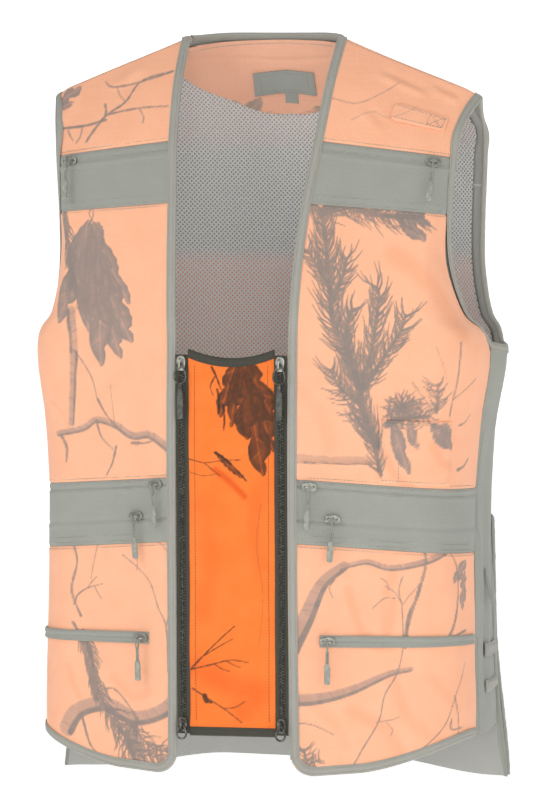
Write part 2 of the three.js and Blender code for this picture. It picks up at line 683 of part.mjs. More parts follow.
// Level zips: the pull's loop goes round the bridge's bar and swings about it.
function levelSlider(name, frame) {
  const body = addMesh(`${name}_slider`, sliderGeometry(), steel, 0.35, 0.9);
  place(body, frame, [0, 0, sliderRunningGap]);
  const pull = addMesh(`${name}_pull`, pullGeometry(pocketPull, false), grip, 0.6);
  place(pull, frame, [0, 0, sliderRunningGap + pivotHeight]);
}

// Upright zips: the loop passes under the bar, and the pull hangs down the zip.
function uprightSlider(name, frame, size) {
  const body = addMesh(`${name}_slider`, sliderGeometry(), steel, 0.35, 0.9, insert);
  place(body, frame, [0, 0, sliderRunningGap]);
  const hang = pullGeometry(size, true);
  const pull = addMesh(`${name}_pull`, hang.rotateZ(-Math.PI / 2), grip, 0.6, 0, insert);
  place(pull, frame, [0, 0, sliderRunningGap + strandHeight]);
}

const topSliderDrop = frontZipTopDrop + sliderLength / 2 + 1;
const footSliderDrop = frontZipTopDrop + frontZipLength - sliderLength / 2 - 2;
for (const [side, sign] of Object.entries(sideSigns)) {
  for (const [end, drop] of [['top', topSliderDrop], ['bottom', footSliderDrop]]) {
    const origin = point(sign * zipMiddle, zipDepthAt(-drop) - tapeThickness / 2, -drop);
    const up = point(0, insertFootDepth - insertTopDepth, frontZipLength);
    const frame = seatFrame(origin, up.normalize(), point(0, -1, 0));
    uprightSlider(`front_${end}_${side}`, frame, end === 'top' ? frontPull : ringPull);
  }
}

// ---- Level zips: chest, upper and lower waist, lower pocket ---------------------------
const levelZips = [
  { name: 'chest', row: yokeRow + 0.16, from: chestSliderInset },
  { name: 'waist_upper', row: waistRow + 0.1, from: upperWaistSliderInset },
  { name: 'waist_lower', row: waistRow + 0.62, from: lowerWaistSliderInset },
];
const pocketRow = waistEndRow + 0.89;
const trackTop = pocketRow - vFor(fronts, pocketRow, weltHeight / 2);
const trackFoot = pocketRow + vFor(fronts, pocketRow, weltHeight / 2);

function levelFrame(row, from, height, mirror) {
  const u = uFor(fronts, row, from);
  const out = frontCloth(u, row);
  const along = towards(fronts, 0, row, u, 0);
  const normal = normalAt(frontCloth, u * 0.9, row, fronts.sign);
  out.addScaledVector(normal, half + height);
  if (!mirror) return seatFrame(out, along, normal);
  return seatFrame(mirrored(out), mirrored(along).negate(), mirrored(normal));
}

for (const [side, mirror] of Object.entries(mirrorOf)) {
  for (const { name, row, from } of levelZips) {
    levelSlider(`${name}_${side}`, levelFrame(row, from, 0, mirror));
  }
  levelSlider(`pocket_${side}`, levelFrame(pocketRow, pocketSliderInset, weltStandOff + weltThickness, mirror));
  addMesh(`pocket_zip_${side}`, clothPiece(fronts, {
    rows: [trackTop, pocketRow, trackFoot],
    columns: pocketCreases,
    uAt: (v) => [uFor(fronts, v, pocketZipInset), 1 - uFor(fronts, v, 4)],
    inner: half + weltStandOff, outer: half + weltStandOff + weltThickness, mirror,
  }), darkOlive, 0.7);
}

// ---- Shoulder tab, pen pocket and label -------------------------------------------------
const tabRow = 1.25;
const tabRise = vFor(fronts, tabRow, tabWidth / 2);
addMesh('shoulder_tab', clothPiece(fronts, {
  rows: span(tabRow - tabRise, tabRow + tabRise, 2),
  columns: 4,
  uAt: (v) => [1 - uFor(fronts, v, tabInset + tabLength), 1 - uFor(fronts, v, tabInset)],
  inner: half + seamGap, outer: half + seamGap + tabThickness,
}), orange, 0.85);

const penFoot = waistRow - vFor(fronts, waistRow - 0.5, 2);
addMesh('pen_pocket', clothPiece(fronts, {
  rows: span(penFoot - vFor(fronts, waistRow - 0.5, penPocketHeight), penFoot, 3),
  columns: pocketCreases.slice(2, 6),
  uAt: (v) => [uFor(fronts, v, penPocketInset), uFor(fronts, v, penPocketInset + penPocketWidth)],
  inner: half + seamGap, outer: half + seamGap + penPocketThickness,
}), orange, 0.85);

function labelRow(z) {
  let low = backTop;
  let high = facingRow;
  for (let i = 0; i < 20; i += 1) {
    const middle = (low + high) / 2;
    if (backCloth(0, middle).z > z) low = middle;
    else high = middle;
  }
  return low;
}

addMesh('neck_label', ringSolid([-labelTopDrop, -labelTopDrop - labelHeight].map((z) => {
  const v = labelRow(z);
  const line = (out) => span(-labelWidth / 2, labelWidth / 2, 4).map((x) => {
    const p = offsetPoint(backs, Math.abs(x) / rowLength(backs, v), v, out);
    return x < 0 ? mirrored(p) : p;
  });
  const face = liningOuter - liningThickness - labelStandOff;
  return [...line(face), ...line(face - labelThickness).reverse()];
})), darkOlive, 0.7);

export default vest;
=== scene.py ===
import json
import math
import random

import bmesh
import bpy
import numpy as np
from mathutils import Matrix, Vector


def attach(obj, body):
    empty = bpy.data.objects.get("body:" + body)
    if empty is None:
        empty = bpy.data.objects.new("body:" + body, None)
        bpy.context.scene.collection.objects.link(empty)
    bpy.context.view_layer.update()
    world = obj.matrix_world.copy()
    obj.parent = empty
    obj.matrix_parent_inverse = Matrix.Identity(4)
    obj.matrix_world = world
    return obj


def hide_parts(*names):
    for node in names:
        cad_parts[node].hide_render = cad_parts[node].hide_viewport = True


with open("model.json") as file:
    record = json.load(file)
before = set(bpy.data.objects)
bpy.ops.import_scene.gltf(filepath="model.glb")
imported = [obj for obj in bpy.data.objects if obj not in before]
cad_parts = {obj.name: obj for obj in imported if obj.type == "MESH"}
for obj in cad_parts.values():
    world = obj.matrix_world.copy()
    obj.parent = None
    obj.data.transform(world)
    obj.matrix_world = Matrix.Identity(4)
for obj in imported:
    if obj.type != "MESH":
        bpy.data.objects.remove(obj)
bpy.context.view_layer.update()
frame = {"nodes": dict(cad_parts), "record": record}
mm = 0.001

# ---------- camera, light and floor ----------

view = dict(azimuth=17, elevation=2.4, distance=8.6, targetHeight=-0.366, lens=385)
studio = dict(keyPower=25, fillPower=15, frontPower=22.5, backPower=26, airLight=0.47, floorDrop=1.15)


def pointAt(thing, target):
    direction = Vector(target) - thing.location
    thing.rotation_euler = direction.to_track_quat("-Z", "Y").to_euler()


def addToScene(thing):
    bpy.context.scene.collection.objects.link(thing)
    return thing


def makeCamera():
    data = bpy.data.cameras.new("camera")
    data.sensor_fit = "VERTICAL"
    data.sensor_height = 36
    data.lens = view["lens"]
    camera = addToScene(bpy.data.objects.new("camera", data))
    turn, rise = math.radians(view["azimuth"]), math.radians(view["elevation"])
    reach = view["distance"] * math.cos(rise)
    height = view["targetHeight"] + view["distance"] * math.sin(rise)
    camera.location = (reach * math.sin(turn), -reach * math.cos(turn), height)
    pointAt(camera, (0, 0, view["targetHeight"]))
    bpy.context.scene.camera = camera


def addLight(name, place, width, power):
    data = bpy.data.lights.new(name, "AREA")
    data.shape = "SQUARE"
    data.size = width
    data.energy = power
    light = addToScene(bpy.data.objects.new(name, data))
    light.location = place
    pointAt(light, (0, 0, -0.36))


def makeStudio():
    addLight("key", (-1.7, -2.6, 1.3), 1.8, studio["keyPower"])
    addLight("fill", (2.4, -2.0, 0.3), 2.2, studio["fillPower"])
    addLight("front", (0.9, -3.6, 0.1), 1.2, studio["frontPower"])
    addLight("back", (0.3, 2.2, 1.6), 1.6, studio["backPower"])
    world = bpy.data.worlds.new("air")
    world.use_nodes = True
    world.node_tree.nodes["Background"].inputs["Color"].default_value = (1, 1, 1, 1)
    world.node_tree.nodes["Background"].inputs["Strength"].default_value = studio["airLight"]
    bpy.context.scene.world = world
    bpy.context.scene.view_settings.view_transform = "Standard"


def linear(code):
    # sRGB hex code to linear light
    parts = [int(code[i:i + 2], 16) / 255 for i in (1, 3, 5)]
    return tuple(c / 12.92 if c <= 0.04045 else ((c + 0.055) / 1.055) ** 2.4 for c in parts) + (1,)


# ---------- node helper and materials ----------

def addNode(tree, kind, settings=None, links=None):
    # links holds a value or another node's output for each socket, by name or number
    node = tree.nodes.new(kind)
    for key, value in (settings or {}).items():
        setattr(node, key, value)
    for key, value in (links or {}).items():
        if isinstance(value, bpy.types.NodeSocket):
            tree.links.new(value, node.inputs[key])
        else:
            node.inputs[key].default_value = value
    return node


def newMaterial(name):
    material = bpy.data.materials.new(name)
    material.use_nodes = True
    tree = material.node_tree
    return material, tree, tree.nodes["Principled BSDF"]


def blendColour(tree, factor, first, second):
    node = addNode(tree, "ShaderNodeMix", {"data_type": "RGBA"}, {0: factor, 6: first, 7: second})
    return node.outputs[2]


def clothPlace(tree):
    # Metres along and across the cloth
    return addNode(tree, "ShaderNodeUVMap", {"uv_map": "cloth"}).outputs["UV"]


def threads(tree, place, direction, pitch, distortion):
    values = {"Vector": place, "Scale": 2 * math.pi / (20 * pitch), "Distortion": distortion, "Detail": 0.0}
    return addNode(tree, "ShaderNodeTexWave", {"bands_direction": direction}, values).outputs["Fac"]


def weaveHeight(tree, pitch):
    # Two crossing sets of threads
    place = clothPlace(tree)
    across, down = [threads(tree, place, direction, pitch, 0.6) for direction in "XY"]
    total = addNode(tree, "ShaderNodeMath", {"operation": "ADD"}, {0: across, 1: down})
    return total.outputs[0], place


def remap(tree, value, low, high, toLow, toHigh):
    values = {"Value": value, "From Min": low, "From Max": high, "To Min": toLow, "To Max": toHigh}
    return addNode(tree, "ShaderNodeMapRange", {}, values).outputs["Result"]


def addBump(tree, shader, height, strength, distance, invert=False):
    values = {"Height": height, "Strength": strength, "Distance": distance}
    bump = addNode(tree, "ShaderNodeBump", {"invert": invert}, values)
    tree.links.new(bump.outputs["Normal"], shader.inputs["Normal"])


def clothMaterial(name, look):
    # Brushed polyester: matte, with a faint sheen at grazing angles and a fine weave
    material, tree, shader = newMaterial(name)
    height, place = weaveHeight(tree, look["weavePitch"])
    blotch = addNode(tree, "ShaderNodeTexNoise", {}, {"Vector": place, "Scale": 38.0, "Detail": 3.0})
    grain = addNode(tree, "ShaderNodeTexNoise", {}, {"Vector": place, "Scale": 900.0, "Detail": 1.0})
    tone = blendColour(tree, blotch.outputs["Fac"], linear(look["ground"]), linear(look["groundWorn"]))
    if "twig" in look:
        paint = addNode(tree, "ShaderNodeAttribute", {"attribute_name": "print"})
        part = addNode(tree, "ShaderNodeSeparateColor", {}, {"Color": paint.outputs["Color"]})
        tone = blendColour(tree, part.outputs["Blue"], tone, linear(look["shade"]))
        tone = blendColour(tree, part.outputs["Green"], tone, linear(look["leaf"]))
        tone = blendColour(tree, part.outputs["Red"], tone, linear(look["twig"]))
    speck = remap(tree, grain.outputs["Fac"], 0.3, 0.7, 0.94, 1.05)
    toned = addNode(tree, "ShaderNodeVectorMath", {"operation": "SCALE"},
                    {0: tone, "Scale": speck})
    tree.links.new(toned.outputs["Vector"], shader.inputs["Base Color"])
    addBump(tree, shader, height, look["weaveDepth"], 0.0003)
    shader.inputs["Roughness"].default_value = look["roughness"]
    shader.inputs["Sheen Weight"].default_value = look["sheen"]
    shader.inputs["Sheen Roughness"].default_value = 0.5
    shader.inputs["IOR"].default_value = 1.45
    return material


def meshMaterial(name, look):
    # Knitted polyester net: round holes in staggered rows, painted with the colour of the cloth behind,
    # darkened as painted shade of the gap
    material, tree, shader = newMaterial(name)
    place = clothPlace(tree)
    turned = addNode(tree, "ShaderNodeMapping", {}, {"Vector": place, "Rotation": (0, 0, math.pi / 4),
                                                     "Scale": (1 / look["pitch"], 1 / look["pitch"], 1)})
    cell = addNode(tree, "ShaderNodeTexVoronoi", {"voronoi_dimensions": "2D"},
                   {"Vector": turned.outputs["Vector"], "Scale": 1.0, "Randomness": 0.12})
    hole = remap(tree, cell.outputs["Distance"], look["hole"], look["hole"] * 0.72, 0, 1)
    paint = addNode(tree, "ShaderNodeAttribute", {"attribute_name": "print"})
    part = addNode(tree, "ShaderNodeSeparateColor", {}, {"Color": paint.outputs["Color"]})
    # painted shade: the holes show the cloth behind darker than it is, as if seen in the shadow behind the
    # net
    behind = blendColour(tree, part.outputs["Green"], linear(look["shadedGreyBehind"]),
                         linear(look["shadedOrangeBehind"]))
    tone = blendColour(tree, hole, linear(look["ground"]), behind)
    tree.links.new(tone, shader.inputs["Base Color"])
    addBump(tree, shader, hole, 0.7, 0.0008, True)
    shader.inputs["Roughness"].default_value = 0.9
    shader.inputs["Sheen Weight"].default_value = 0.1
    return material


def ribbedMaterial(name, look):
    # Grosgrain: fine ribs run across the tape, their crowns painted lighter as a painted highlight
    material, tree, shader = newMaterial(name)
    place = clothPlace(tree)
    ribs = threads(tree, place, "X", look["ribPitch"], 0.3)
    dirt = addNode(tree, "ShaderNodeTexNoise", {}, {"Vector": place, "Scale": 60.0, "Detail": 4.0})
    tone = blendColour(tree, dirt.outputs["Fac"], linear(look["ground"]), linear(look["groundWorn"]))
    # painted highlight: the lighter crown colour is laid on where the ribs stand highest
    ribHighlight = addNode(tree, "ShaderNodeMath", {"operation": "MULTIPLY"}, {0: ribs, 1: look["ribHighlightShow"]})
    tone = blendColour(tree, ribHighlight.outputs[0], tone, linear(look["ribHighlight"]))
    tree.links.new(tone, shader.inputs["Base Color"])
    addBump(tree, shader, ribs, look["ribDepth"], 0.0004)
    shader.inputs["Roughness"].default_value = look["roughness"]
    shader.inputs["Sheen Weight"].default_value = 0.1
    return material


def solidMaterial(name, look):
    # Cast or moulded surface: cloudy roughness, rubbed lighter in patches by handling
    material, tree, shader = newMaterial(name)
    place = addNode(tree, "ShaderNodeTexCoord").outputs["Object"]
    cloud = addNode(tree, "ShaderNodeTexNoise", {},
                    {"Vector": place, "Scale": look["wearScale"], "Detail": 4.0})
    edge = remap(tree, cloud.outputs["Fac"], 0.42, 0.68, 0, 1)
    tone = blendColour(tree, edge, linear(look["ground"]), linear(look["worn"]))
    tree.links.new(tone, shader.inputs["Base Color"])
    rough = remap(tree, cloud.outputs["Fac"], 0, 1, look["roughness"] - 0.08, look["roughness"] + 0.1)
    tree.links.new(rough, shader.inputs["Roughness"])
    addBump(tree, shader, cloud.outputs["Fac"], 0.15, 0.0002)
    shader.inputs["Metallic"].default_value = look["metallic"]
    return material


# the wall stands behind every camera that goes round the object
backdropSize = dict(reach=24, start=17.2, bend=1.2, high=9)


def makeFloor():
    # A floor that turns up into a wall behind
    reach, start = backdropSize["reach"], backdropSize["start"]
    bend, high = backdropSize["bend"], backdropSize["high"]
    turns = np.linspace(0, math.pi / 2, 12)
    curve = [(start + bend * math.sin(a), bend - bend * math.cos(a)) for a in turns]
    profile = [(-18, 0)] + curve + [(start + bend, high)]
    points = [(side, y, z - studio["floorDrop"]) for y, z in profile for side in (-reach, reach)]
    faces = [(2 * i, 2 * i + 1, 2 * i + 3, 2 * i + 2) for i in range(len(profile) - 1)]
    mesh = bpy.data.meshes.new("backdrop")
    mesh.from_pydata(points, [], faces)
    backdrop = addToScene(bpy.data.objects.new("backdrop", mesh))
    paper, tree, shader = newMaterial("seamless_paper_pale")
    shader.inputs["Base Color"].default_value = linear("#fbfbfb")
    shader.inputs["Roughness"].default_value = 0.9
    shader.inputs["Emission Color"].default_value = (1, 1, 1, 1)
    shader.inputs["Emission Strength"].default_value = 0.5
    mesh.materials.append(paper)


makeCamera()
makeStudio()
makeFloor()
print("camera, light and floor are set")

# ---------- surfaces of the vest, in millimetres, as in the CAD ----------

yokeDrop, bandDrop, underarmDrop, waistDrop, waistEndDrop, hemDrop = 104, 166, 304, 438, 502, 735
yokeRow, bandRow, underarmRow, waistRow, waistEndRow, hemRow = 2, 3, 6, 8, 9, 11
bindingWidth, clothHalf = 9.5, 1.2
neckShare = 0.4
cornerRadius = 24
hemPace = (hemDrop - waistEndDrop) / (hemRow - waistEndRow)


def mix(a, b, t):
    return a + (b - a) * t


def ease(value):
    t = np.clip(value, 0, 1)
    return t * t * (3 - 2 * t)


def through(p0, p1, p2, p3, t):
    # Smooth curve from p1 to p2, led by their neighbours
    return 0.5 * (2 * p1 + (p2 - p0) * t + (2 * p0 - 5 * p1 + 4 * p2 - p3) * t ** 2
                  + (3 * p1 - p0 - 3 * p2 + p3) * t ** 3)


def at(x, y, z):
    return np.array([x, y, z], float)


def unit(vectors):
    return vectors / np.maximum(np.linalg.norm(vectors, axis=-1, keepdims=True), 1e-9)


shoulderTip = at(223, -10, -62)
neckPoint = at(77, -22, 0)
frontEdges = [neckPoint, at(75, -57, -yokeDrop * 0.42), at(71, -87, -yokeDrop), at(65, -109, -bandDrop),
              at(61, mix(-109, -135, 0.6), mix(-bandDrop, -underarmDrop, 0.42)),
              at(59, mix(-109, -135, 0.88), mix(-bandDrop, -underarmDrop, 0.76)),
              at(58, -133, -underarmDrop - 1), at(58, -135, mix(-underarmDrop, -waistDrop, 0.5)),
              at(58, -135, -waistDrop), at(58, -134, -waistEndDrop),
              at(58, mix(-135, -127, 0.5), mix(-waistEndDrop, -hemDrop, 0.47)), at(59, -127, -hemDrop)]
frontOuters = [shoulderTip, at(mix(223, 203, 0.45), -42, mix(-62, -yokeDrop, 0.65)),
               at(mix(223, 203, 0.7), -51, -yokeDrop - 18), at(204, -54, -bandDrop - 12),
               at(204, -50, mix(-bandDrop, -underarmDrop, 0.45)),
               at(mix(203, 227, 0.42), -35, mix(-bandDrop, -underarmDrop, 0.8)),
               at(227, -18, 1 - underarmDrop),
               at(mix(227, 218, 0.5), -20, mix(-underarmDrop, -waistDrop, 0.54)),
               at(218, -20, -waistDrop - 12), at(218, -25, -waistEndDrop - 12),
               at(mix(218, 222, 0.5), -29, mix(-waistEndDrop, -hemDrop, 0.47)), at(222, -30, 13 - hemDrop)]
backMiddles = [None, at(0, 66, -52), at(0, 84, -118), at(0, 95, -180),
               at(0, 105, mix(-180, -underarmDrop, 0.48)), at(0, 110, mix(-180, -underarmDrop, 0.84)),
               at(0, 112, -underarmDrop - 6), at(0, 115, mix(-underarmDrop, -waistDrop, 0.52)),
               at(0, 117, -waistDrop - 7), at(0, 119, -waistEndDrop - 5),
               at(0, 121, mix(-waistEndDrop, -hemDrop, 0.47)), at(0, 122, 5 - hemDrop)]
backReaches = [None, 26, 47, 57, 55, 42, 28, 31, 34, 38, 42, 42]
backOuters = [shoulderTip] + [at(p[0], y, p[2]) for p, y in zip(frontOuters[1:], backReaches[1:])]
slopeShares = [0.1, 0.5, 0.72, 0.86, 0.96] + [1] * 7
turnReaches = [0.93] * 5 + [0.95] + [1] * 6
straightShares = [0.86] * 5 + [0.8] + [0.72] * 6


def frontRow(edge, outer, slope, reach, straight):
    across = reach * (outer[0] - edge[0])
    turn = at(edge[0] + across, edge[1] + slope * across, mix(edge[2], outer[2], 0.93 * reach))
    corner = mix(edge, turn, straight / reach)

    def row(u):
        u = u[:, None]
        t = np.clip((u - straight) / (1 - straight), 0, None)
        bend = mix(mix(corner, turn, t), mix(turn, outer, t), t)
        return np.where(u < straight, mix(edge, corner, u / straight), bend)
    return row


def curveRow(points):
    # Bezier curve through three or four control points
    degree = len(points) - 1

    def row(u):
        t = u[:, None]
        return sum(math.comb(degree, i) * (1 - t) ** (degree - i) * t ** i * p for i, p in enumerate(points))
    return row


def backRow(middle, outer):
    high = at(outer[0] * 0.55, middle[1], mix(middle[2], outer[2], 0.3))
    return curveRow([middle, high, at(outer[0], mix(outer[1], middle[1], 0.55), outer[2]), outer])


def sideRow(front, back, bulge):
    out = at(mix(front[0], back[0], 0.5) + bulge, mix(front[1], back[1], 0.5), front[2] - bulge * 0.4)
    return curveRow([front, out, back])


def backTopRow(u):
    turn = np.clip(u / neckShare, 0, 1) * math.pi / 2
    neck = np.stack([77 * np.sin(turn), -22 + 67 * np.cos(turn), 0 * turn], 1)
    shoulder = mix(neckPoint, shoulderTip, np.clip((u - neckShare) / (1 - neckShare), 0, 1)[:, None])
    return np.where((u > neckShare)[:, None], shoulder, neck)


def smoothRows(rows):
    def surface(u, v):
        k = min(max(int(math.floor(v)), 0), len(rows) - 2)
        t = v - k
        near = [rows[min(max(i, 0), len(rows) - 1)](u) for i in range(k - 1, k + 3)]
        return through(*near, t)
    return surface


plainFront = smoothRows([frontRow(e, o, 0.28 * s, r, st) for e, o, s, r, st in
                         zip(frontEdges, frontOuters, slopeShares, turnReaches, straightShares)])
backCloth = smoothRows([backTopRow] + [backRow(m, o) for m, o in zip(backMiddles[1:], backOuters[1:])])
sideBulges = [22 if k <= underarmRow else mix(22, 7, min(1, (k - underarmRow) / 2)) for k in range(12)]
sideCloth = smoothRows([sideRow(f, b, s) for f, b, s in zip(frontOuters, backOuters, sideBulges)])


def roundedFront(u, v):
    p = plainFront(u, v)
    near = max(0, 1 - (hemRow - v) * hemPace / cornerRadius)
    side = np.clip(cornerRadius - np.maximum(p[:, 0] - 59, 0), 0, cornerRadius)
    p[:, 2] += near * (cornerRadius - np.sqrt(cornerRadius ** 2 - side ** 2))
    return p


fronts = dict(surface=roundedFront, plain=plainFront, sign=-1)
backs = dict(surface=backCloth, sign=1)
sides = dict(surface=sideCloth, sign=-1)


def normalsAt(part, u, v):
    h, surface = 0.004, part.get("plain", part["surface"])
    along = surface(np.minimum(u + h, 1), v) - surface(np.maximum(u - h, 0), v)
    down = surface(u, min(v + h, hemRow)) - surface(u, max(v - h, 0))
    return unit(np.cross(along, down)) * part["sign"]


def rowLength(part, v):
    line = part["surface"](np.linspace(0, 1, 13), v)
    return float(np.linalg.norm(np.diff(line, axis=0), axis=1).sum())


def columnLength(part, v):
    half = np.array([0.5])
    low, high = part["surface"](half, min(v + 0.5, hemRow)), part["surface"](half, max(v - 0.5, 0))
    return float(np.linalg.norm(low - high))


def uFor(part, v, length):
    return length / rowLength(part, v)


def vFor(part, v, length):
    return length / columnLength(part, v)


# ---------- print: motifs drawn on a fine canvas, read off at each point of the cloth ----------

class Canvas:
    # Three layers (0 twigs, 1 leaves, 2 soft shade) over a rectangle of cloth, in millimetres
    def __init__(self, left, right, top, foot, cell, seed):
        self.left, self.top, self.cell = left, top, cell
        self.layers = np.zeros((3, int((foot - top) / cell), int((right - left) / cell)))
        self.random = random.Random(seed)

    def window(self, low, high, margin):
        # Cells near a box, and the place of each
        x0, y0 = [int(max(0, (low[i] - margin - (self.left, self.top)[i]) / self.cell)) for i in (0, 1)]
        x1, y1 = [int(max(0, (high[i] + margin - (self.left, self.top)[i]) / self.cell)) + 1 for i in (0, 1)]
        rows, columns = slice(y0, y1), slice(x0, x1)
        height, width = self.layers[0][rows, columns].shape
        xs = self.left + (x0 + np.arange(width) + 0.5) * self.cell
        ys = self.top + (y0 + np.arange(height) + 0.5) * self.cell
        return rows, columns, xs[None, :], ys[:, None]

    def put(self, layer, rows, columns, amount):
        area = self.layers[layer][rows, columns]
        np.maximum(area, amount, out=area)

    def stroke(self, a, b, wideA, wideB, tone=1.0, layer=0, soft=0.45):
        # Straight tapering stroke
        rows, columns, xs, ys = self.window(np.minimum(a, b), np.maximum(a, b), max(wideA, wideB) + soft)
        if xs.size == 0 or ys.size == 0:
            return
        run = np.subtract(b, a)
        t = np.clip(((xs - a[0]) * run[0] + (ys - a[1]) * run[1]) / max(run @ run, 1e-6), 0, 1)
        gap = np.hypot(xs - a[0] - t * run[0], ys - a[1] - t * run[1])
        wide = mix(wideA, wideB, t) / 2
        self.put(layer, rows, columns, tone * np.clip((wide - gap) / soft + 0.5, 0, 1))

    def branch(self, points, wide, tone=0.9, layer=0, rough=0.25, soft=0.5):
        # Bent branch that tapers from wide[0] to wide[1], with knots and a ragged bark edge
        line = smoothLine(points, 3.0)
        for i in range(len(line) - 1):
            share = i / max(1, len(line) - 2)
            w = max(1.0, mix(wide[0], wide[1], share)) * (1 + rough * self.random.uniform(-1, 1))
            self.stroke(line[i], line[i + 1], w, w, tone * self.random.uniform(0.8, 1.05), layer, soft)

    def bark(self, points, wide):
        # Thick limb: paler body with dark lower edge and cross cracks
        line = smoothLine(points, 3.0)
        for i in range(len(line) - 1):
            share = i / max(1, len(line) - 2)
            w = mix(wide[0], wide[1], share)
            run = unit(np.subtract(line[i + 1], line[i]))
            over = np.array([-run[1], run[0]])
            over = over if over[1] > 0 else -over
            self.stroke(line[i], line[i + 1], w, w, self.random.uniform(0.45, 0.7), 1, 1.2)
            dark = line[i] + over * w * 0.34, line[i + 1] + over * w * 0.34
            self.stroke(dark[0], dark[1], w * 0.36, w * 0.36, self.random.uniform(0.6, 0.95), 0, 0.9)
            if self.random.random() < 0.3:
                self.stroke(line[i] - over * w * 0.45, line[i] + over * w * 0.3 + run * 3, 0.9, 0.5, 0.6)

    def leaf(self, stem, tip, wide, lobes=3, tone=0.95):
        # Lobed leaf with a paler midrib, its lobes out of step on the two sides
        stem, tip = np.array(stem, float), np.array(tip, float)
        run = tip - stem
        length = np.hypot(*run)
        run /= length
        rows, columns, xs, ys = self.window(np.minimum(stem, tip) - wide, np.maximum(stem, tip) + wide, 2)
        if xs.size == 0 or ys.size == 0:
            return
        a = ((xs - stem[0]) * run[0] + (ys - stem[1]) * run[1]) / length
        b = (ys - stem[1]) * run[0] - (xs - stem[0]) * run[1]
        forward = np.clip(a - abs(b) / length * 0.8, 0, 1)
        body = np.clip(a, 0, 1) ** 0.6 * np.clip(1 - a, 0, 1) ** 0.6 * 1.85
        notch = (1 - abs(np.sin(math.pi * (lobes * forward + np.where(b > 0, 0.1, 0.45))))) ** 1.6
        edge = wide / 2 * body * (1 - 0.62 * notch) + 0.4 * np.sin(a * 47 + b * 0.5)
        inside = np.clip((edge - np.abs(b)) / 0.6, 0, 1) * ((a > 0) & (a < 1))
        rib = np.exp(-(b / 0.5) ** 2) * 0.35
        vein = 0.22 * (abs(np.sin(math.pi * (lobes * forward + np.where(b > 0, 0.6, 0.95)))) < 0.07)
        mottle = 0.05 * np.sin(xs * 0.21 + ys * 0.37 + 3 * np.sin(ys * 0.07) + tip[0])
        brown = np.clip(0.1 + 1.1 * (abs(b) / np.maximum(edge, 1)) ** 3, 0, 0.55)
        self.put(1, rows, columns, inside * np.clip(tone - rib - vein + mottle, 0, 1))
        self.put(0, rows, columns, inside * brown)

    def sprig(self, points, needle, gap=2.4, spread=0.55, tone=0.95, wide=2.2):
        # Pine shoot: needles leave the stem in pairs and point towards its end
        line = smoothLine(points, gap * 1.25)
        self.branch(points, (wide * 0.7, wide * 0.35), tone)
        for i in range(len(line) - 1):
            run = unit(np.subtract(line[i + 1], line[i]))
            for side in (-1, 1):
                lean = self.random.uniform(0.45, 1.35) * spread * side
                turned = np.array([run[0] * math.cos(lean) - run[1] * math.sin(lean),
                                   run[0] * math.sin(lean) + run[1] * math.cos(lean)])
                long = needle * self.random.uniform(0.6, 1.15)
                root = mix(np.array(line[i]), np.array(line[i + 1]), self.random.random())
                bendy = np.array([-turned[1], turned[0]]) * long * 0.1 * side
                middle = root + turned * long * 0.5 + bendy
                shade = tone * self.random.uniform(0.85, 1.05)
                self.stroke(root, middle, 1.7, 1.4, shade)
                self.stroke(middle, root + turned * long, 1.4, 0.7, shade)

    def ghost(self, points, wide, tone=0.55):
        # Soft shadow of something further back in the wood
        line = smoothLine(points, 6.0)
        for i in range(len(line) - 1):
            self.stroke(line[i], line[i + 1], wide, wide, tone, 2, wide * 0.6)

    def read(self, xs, ys):
        # Layers at the given places
        cx = np.clip((xs - self.left) / self.cell - 0.5, 0, self.layers.shape[2] - 1.001)
        cy = np.clip((ys - self.top) / self.cell - 0.5, 0, self.layers.shape[1] - 1.001)
        ix, iy = cx.astype(int), cy.astype(int)
        fx, fy = cx - ix, cy - iy
        get = self.layers[:, iy, ix] * (1 - fx) + self.layers[:, iy, ix + 1] * fx
        low = self.layers[:, iy + 1, ix] * (1 - fx) + self.layers[:, iy + 1, ix + 1] * fx
        return np.moveaxis(get * (1 - fy) + low * fy, 0, -1)


def smoothLine(points, step):
    # Points about a step apart on a smooth curve through the given ones
    points = [np.array(p, float) for p in points]
    out = []
    for k in range(len(points) - 1):
        near = [points[min(max(i, 0), len(points) - 1)] for i in range(k - 1, k + 3)]
        count = max(1, int(np.hypot(*(near[2] - near[1])) / step))
        out += [through(*near, t) for t in np.arange(count) / count]
    return out + [points[-1]]


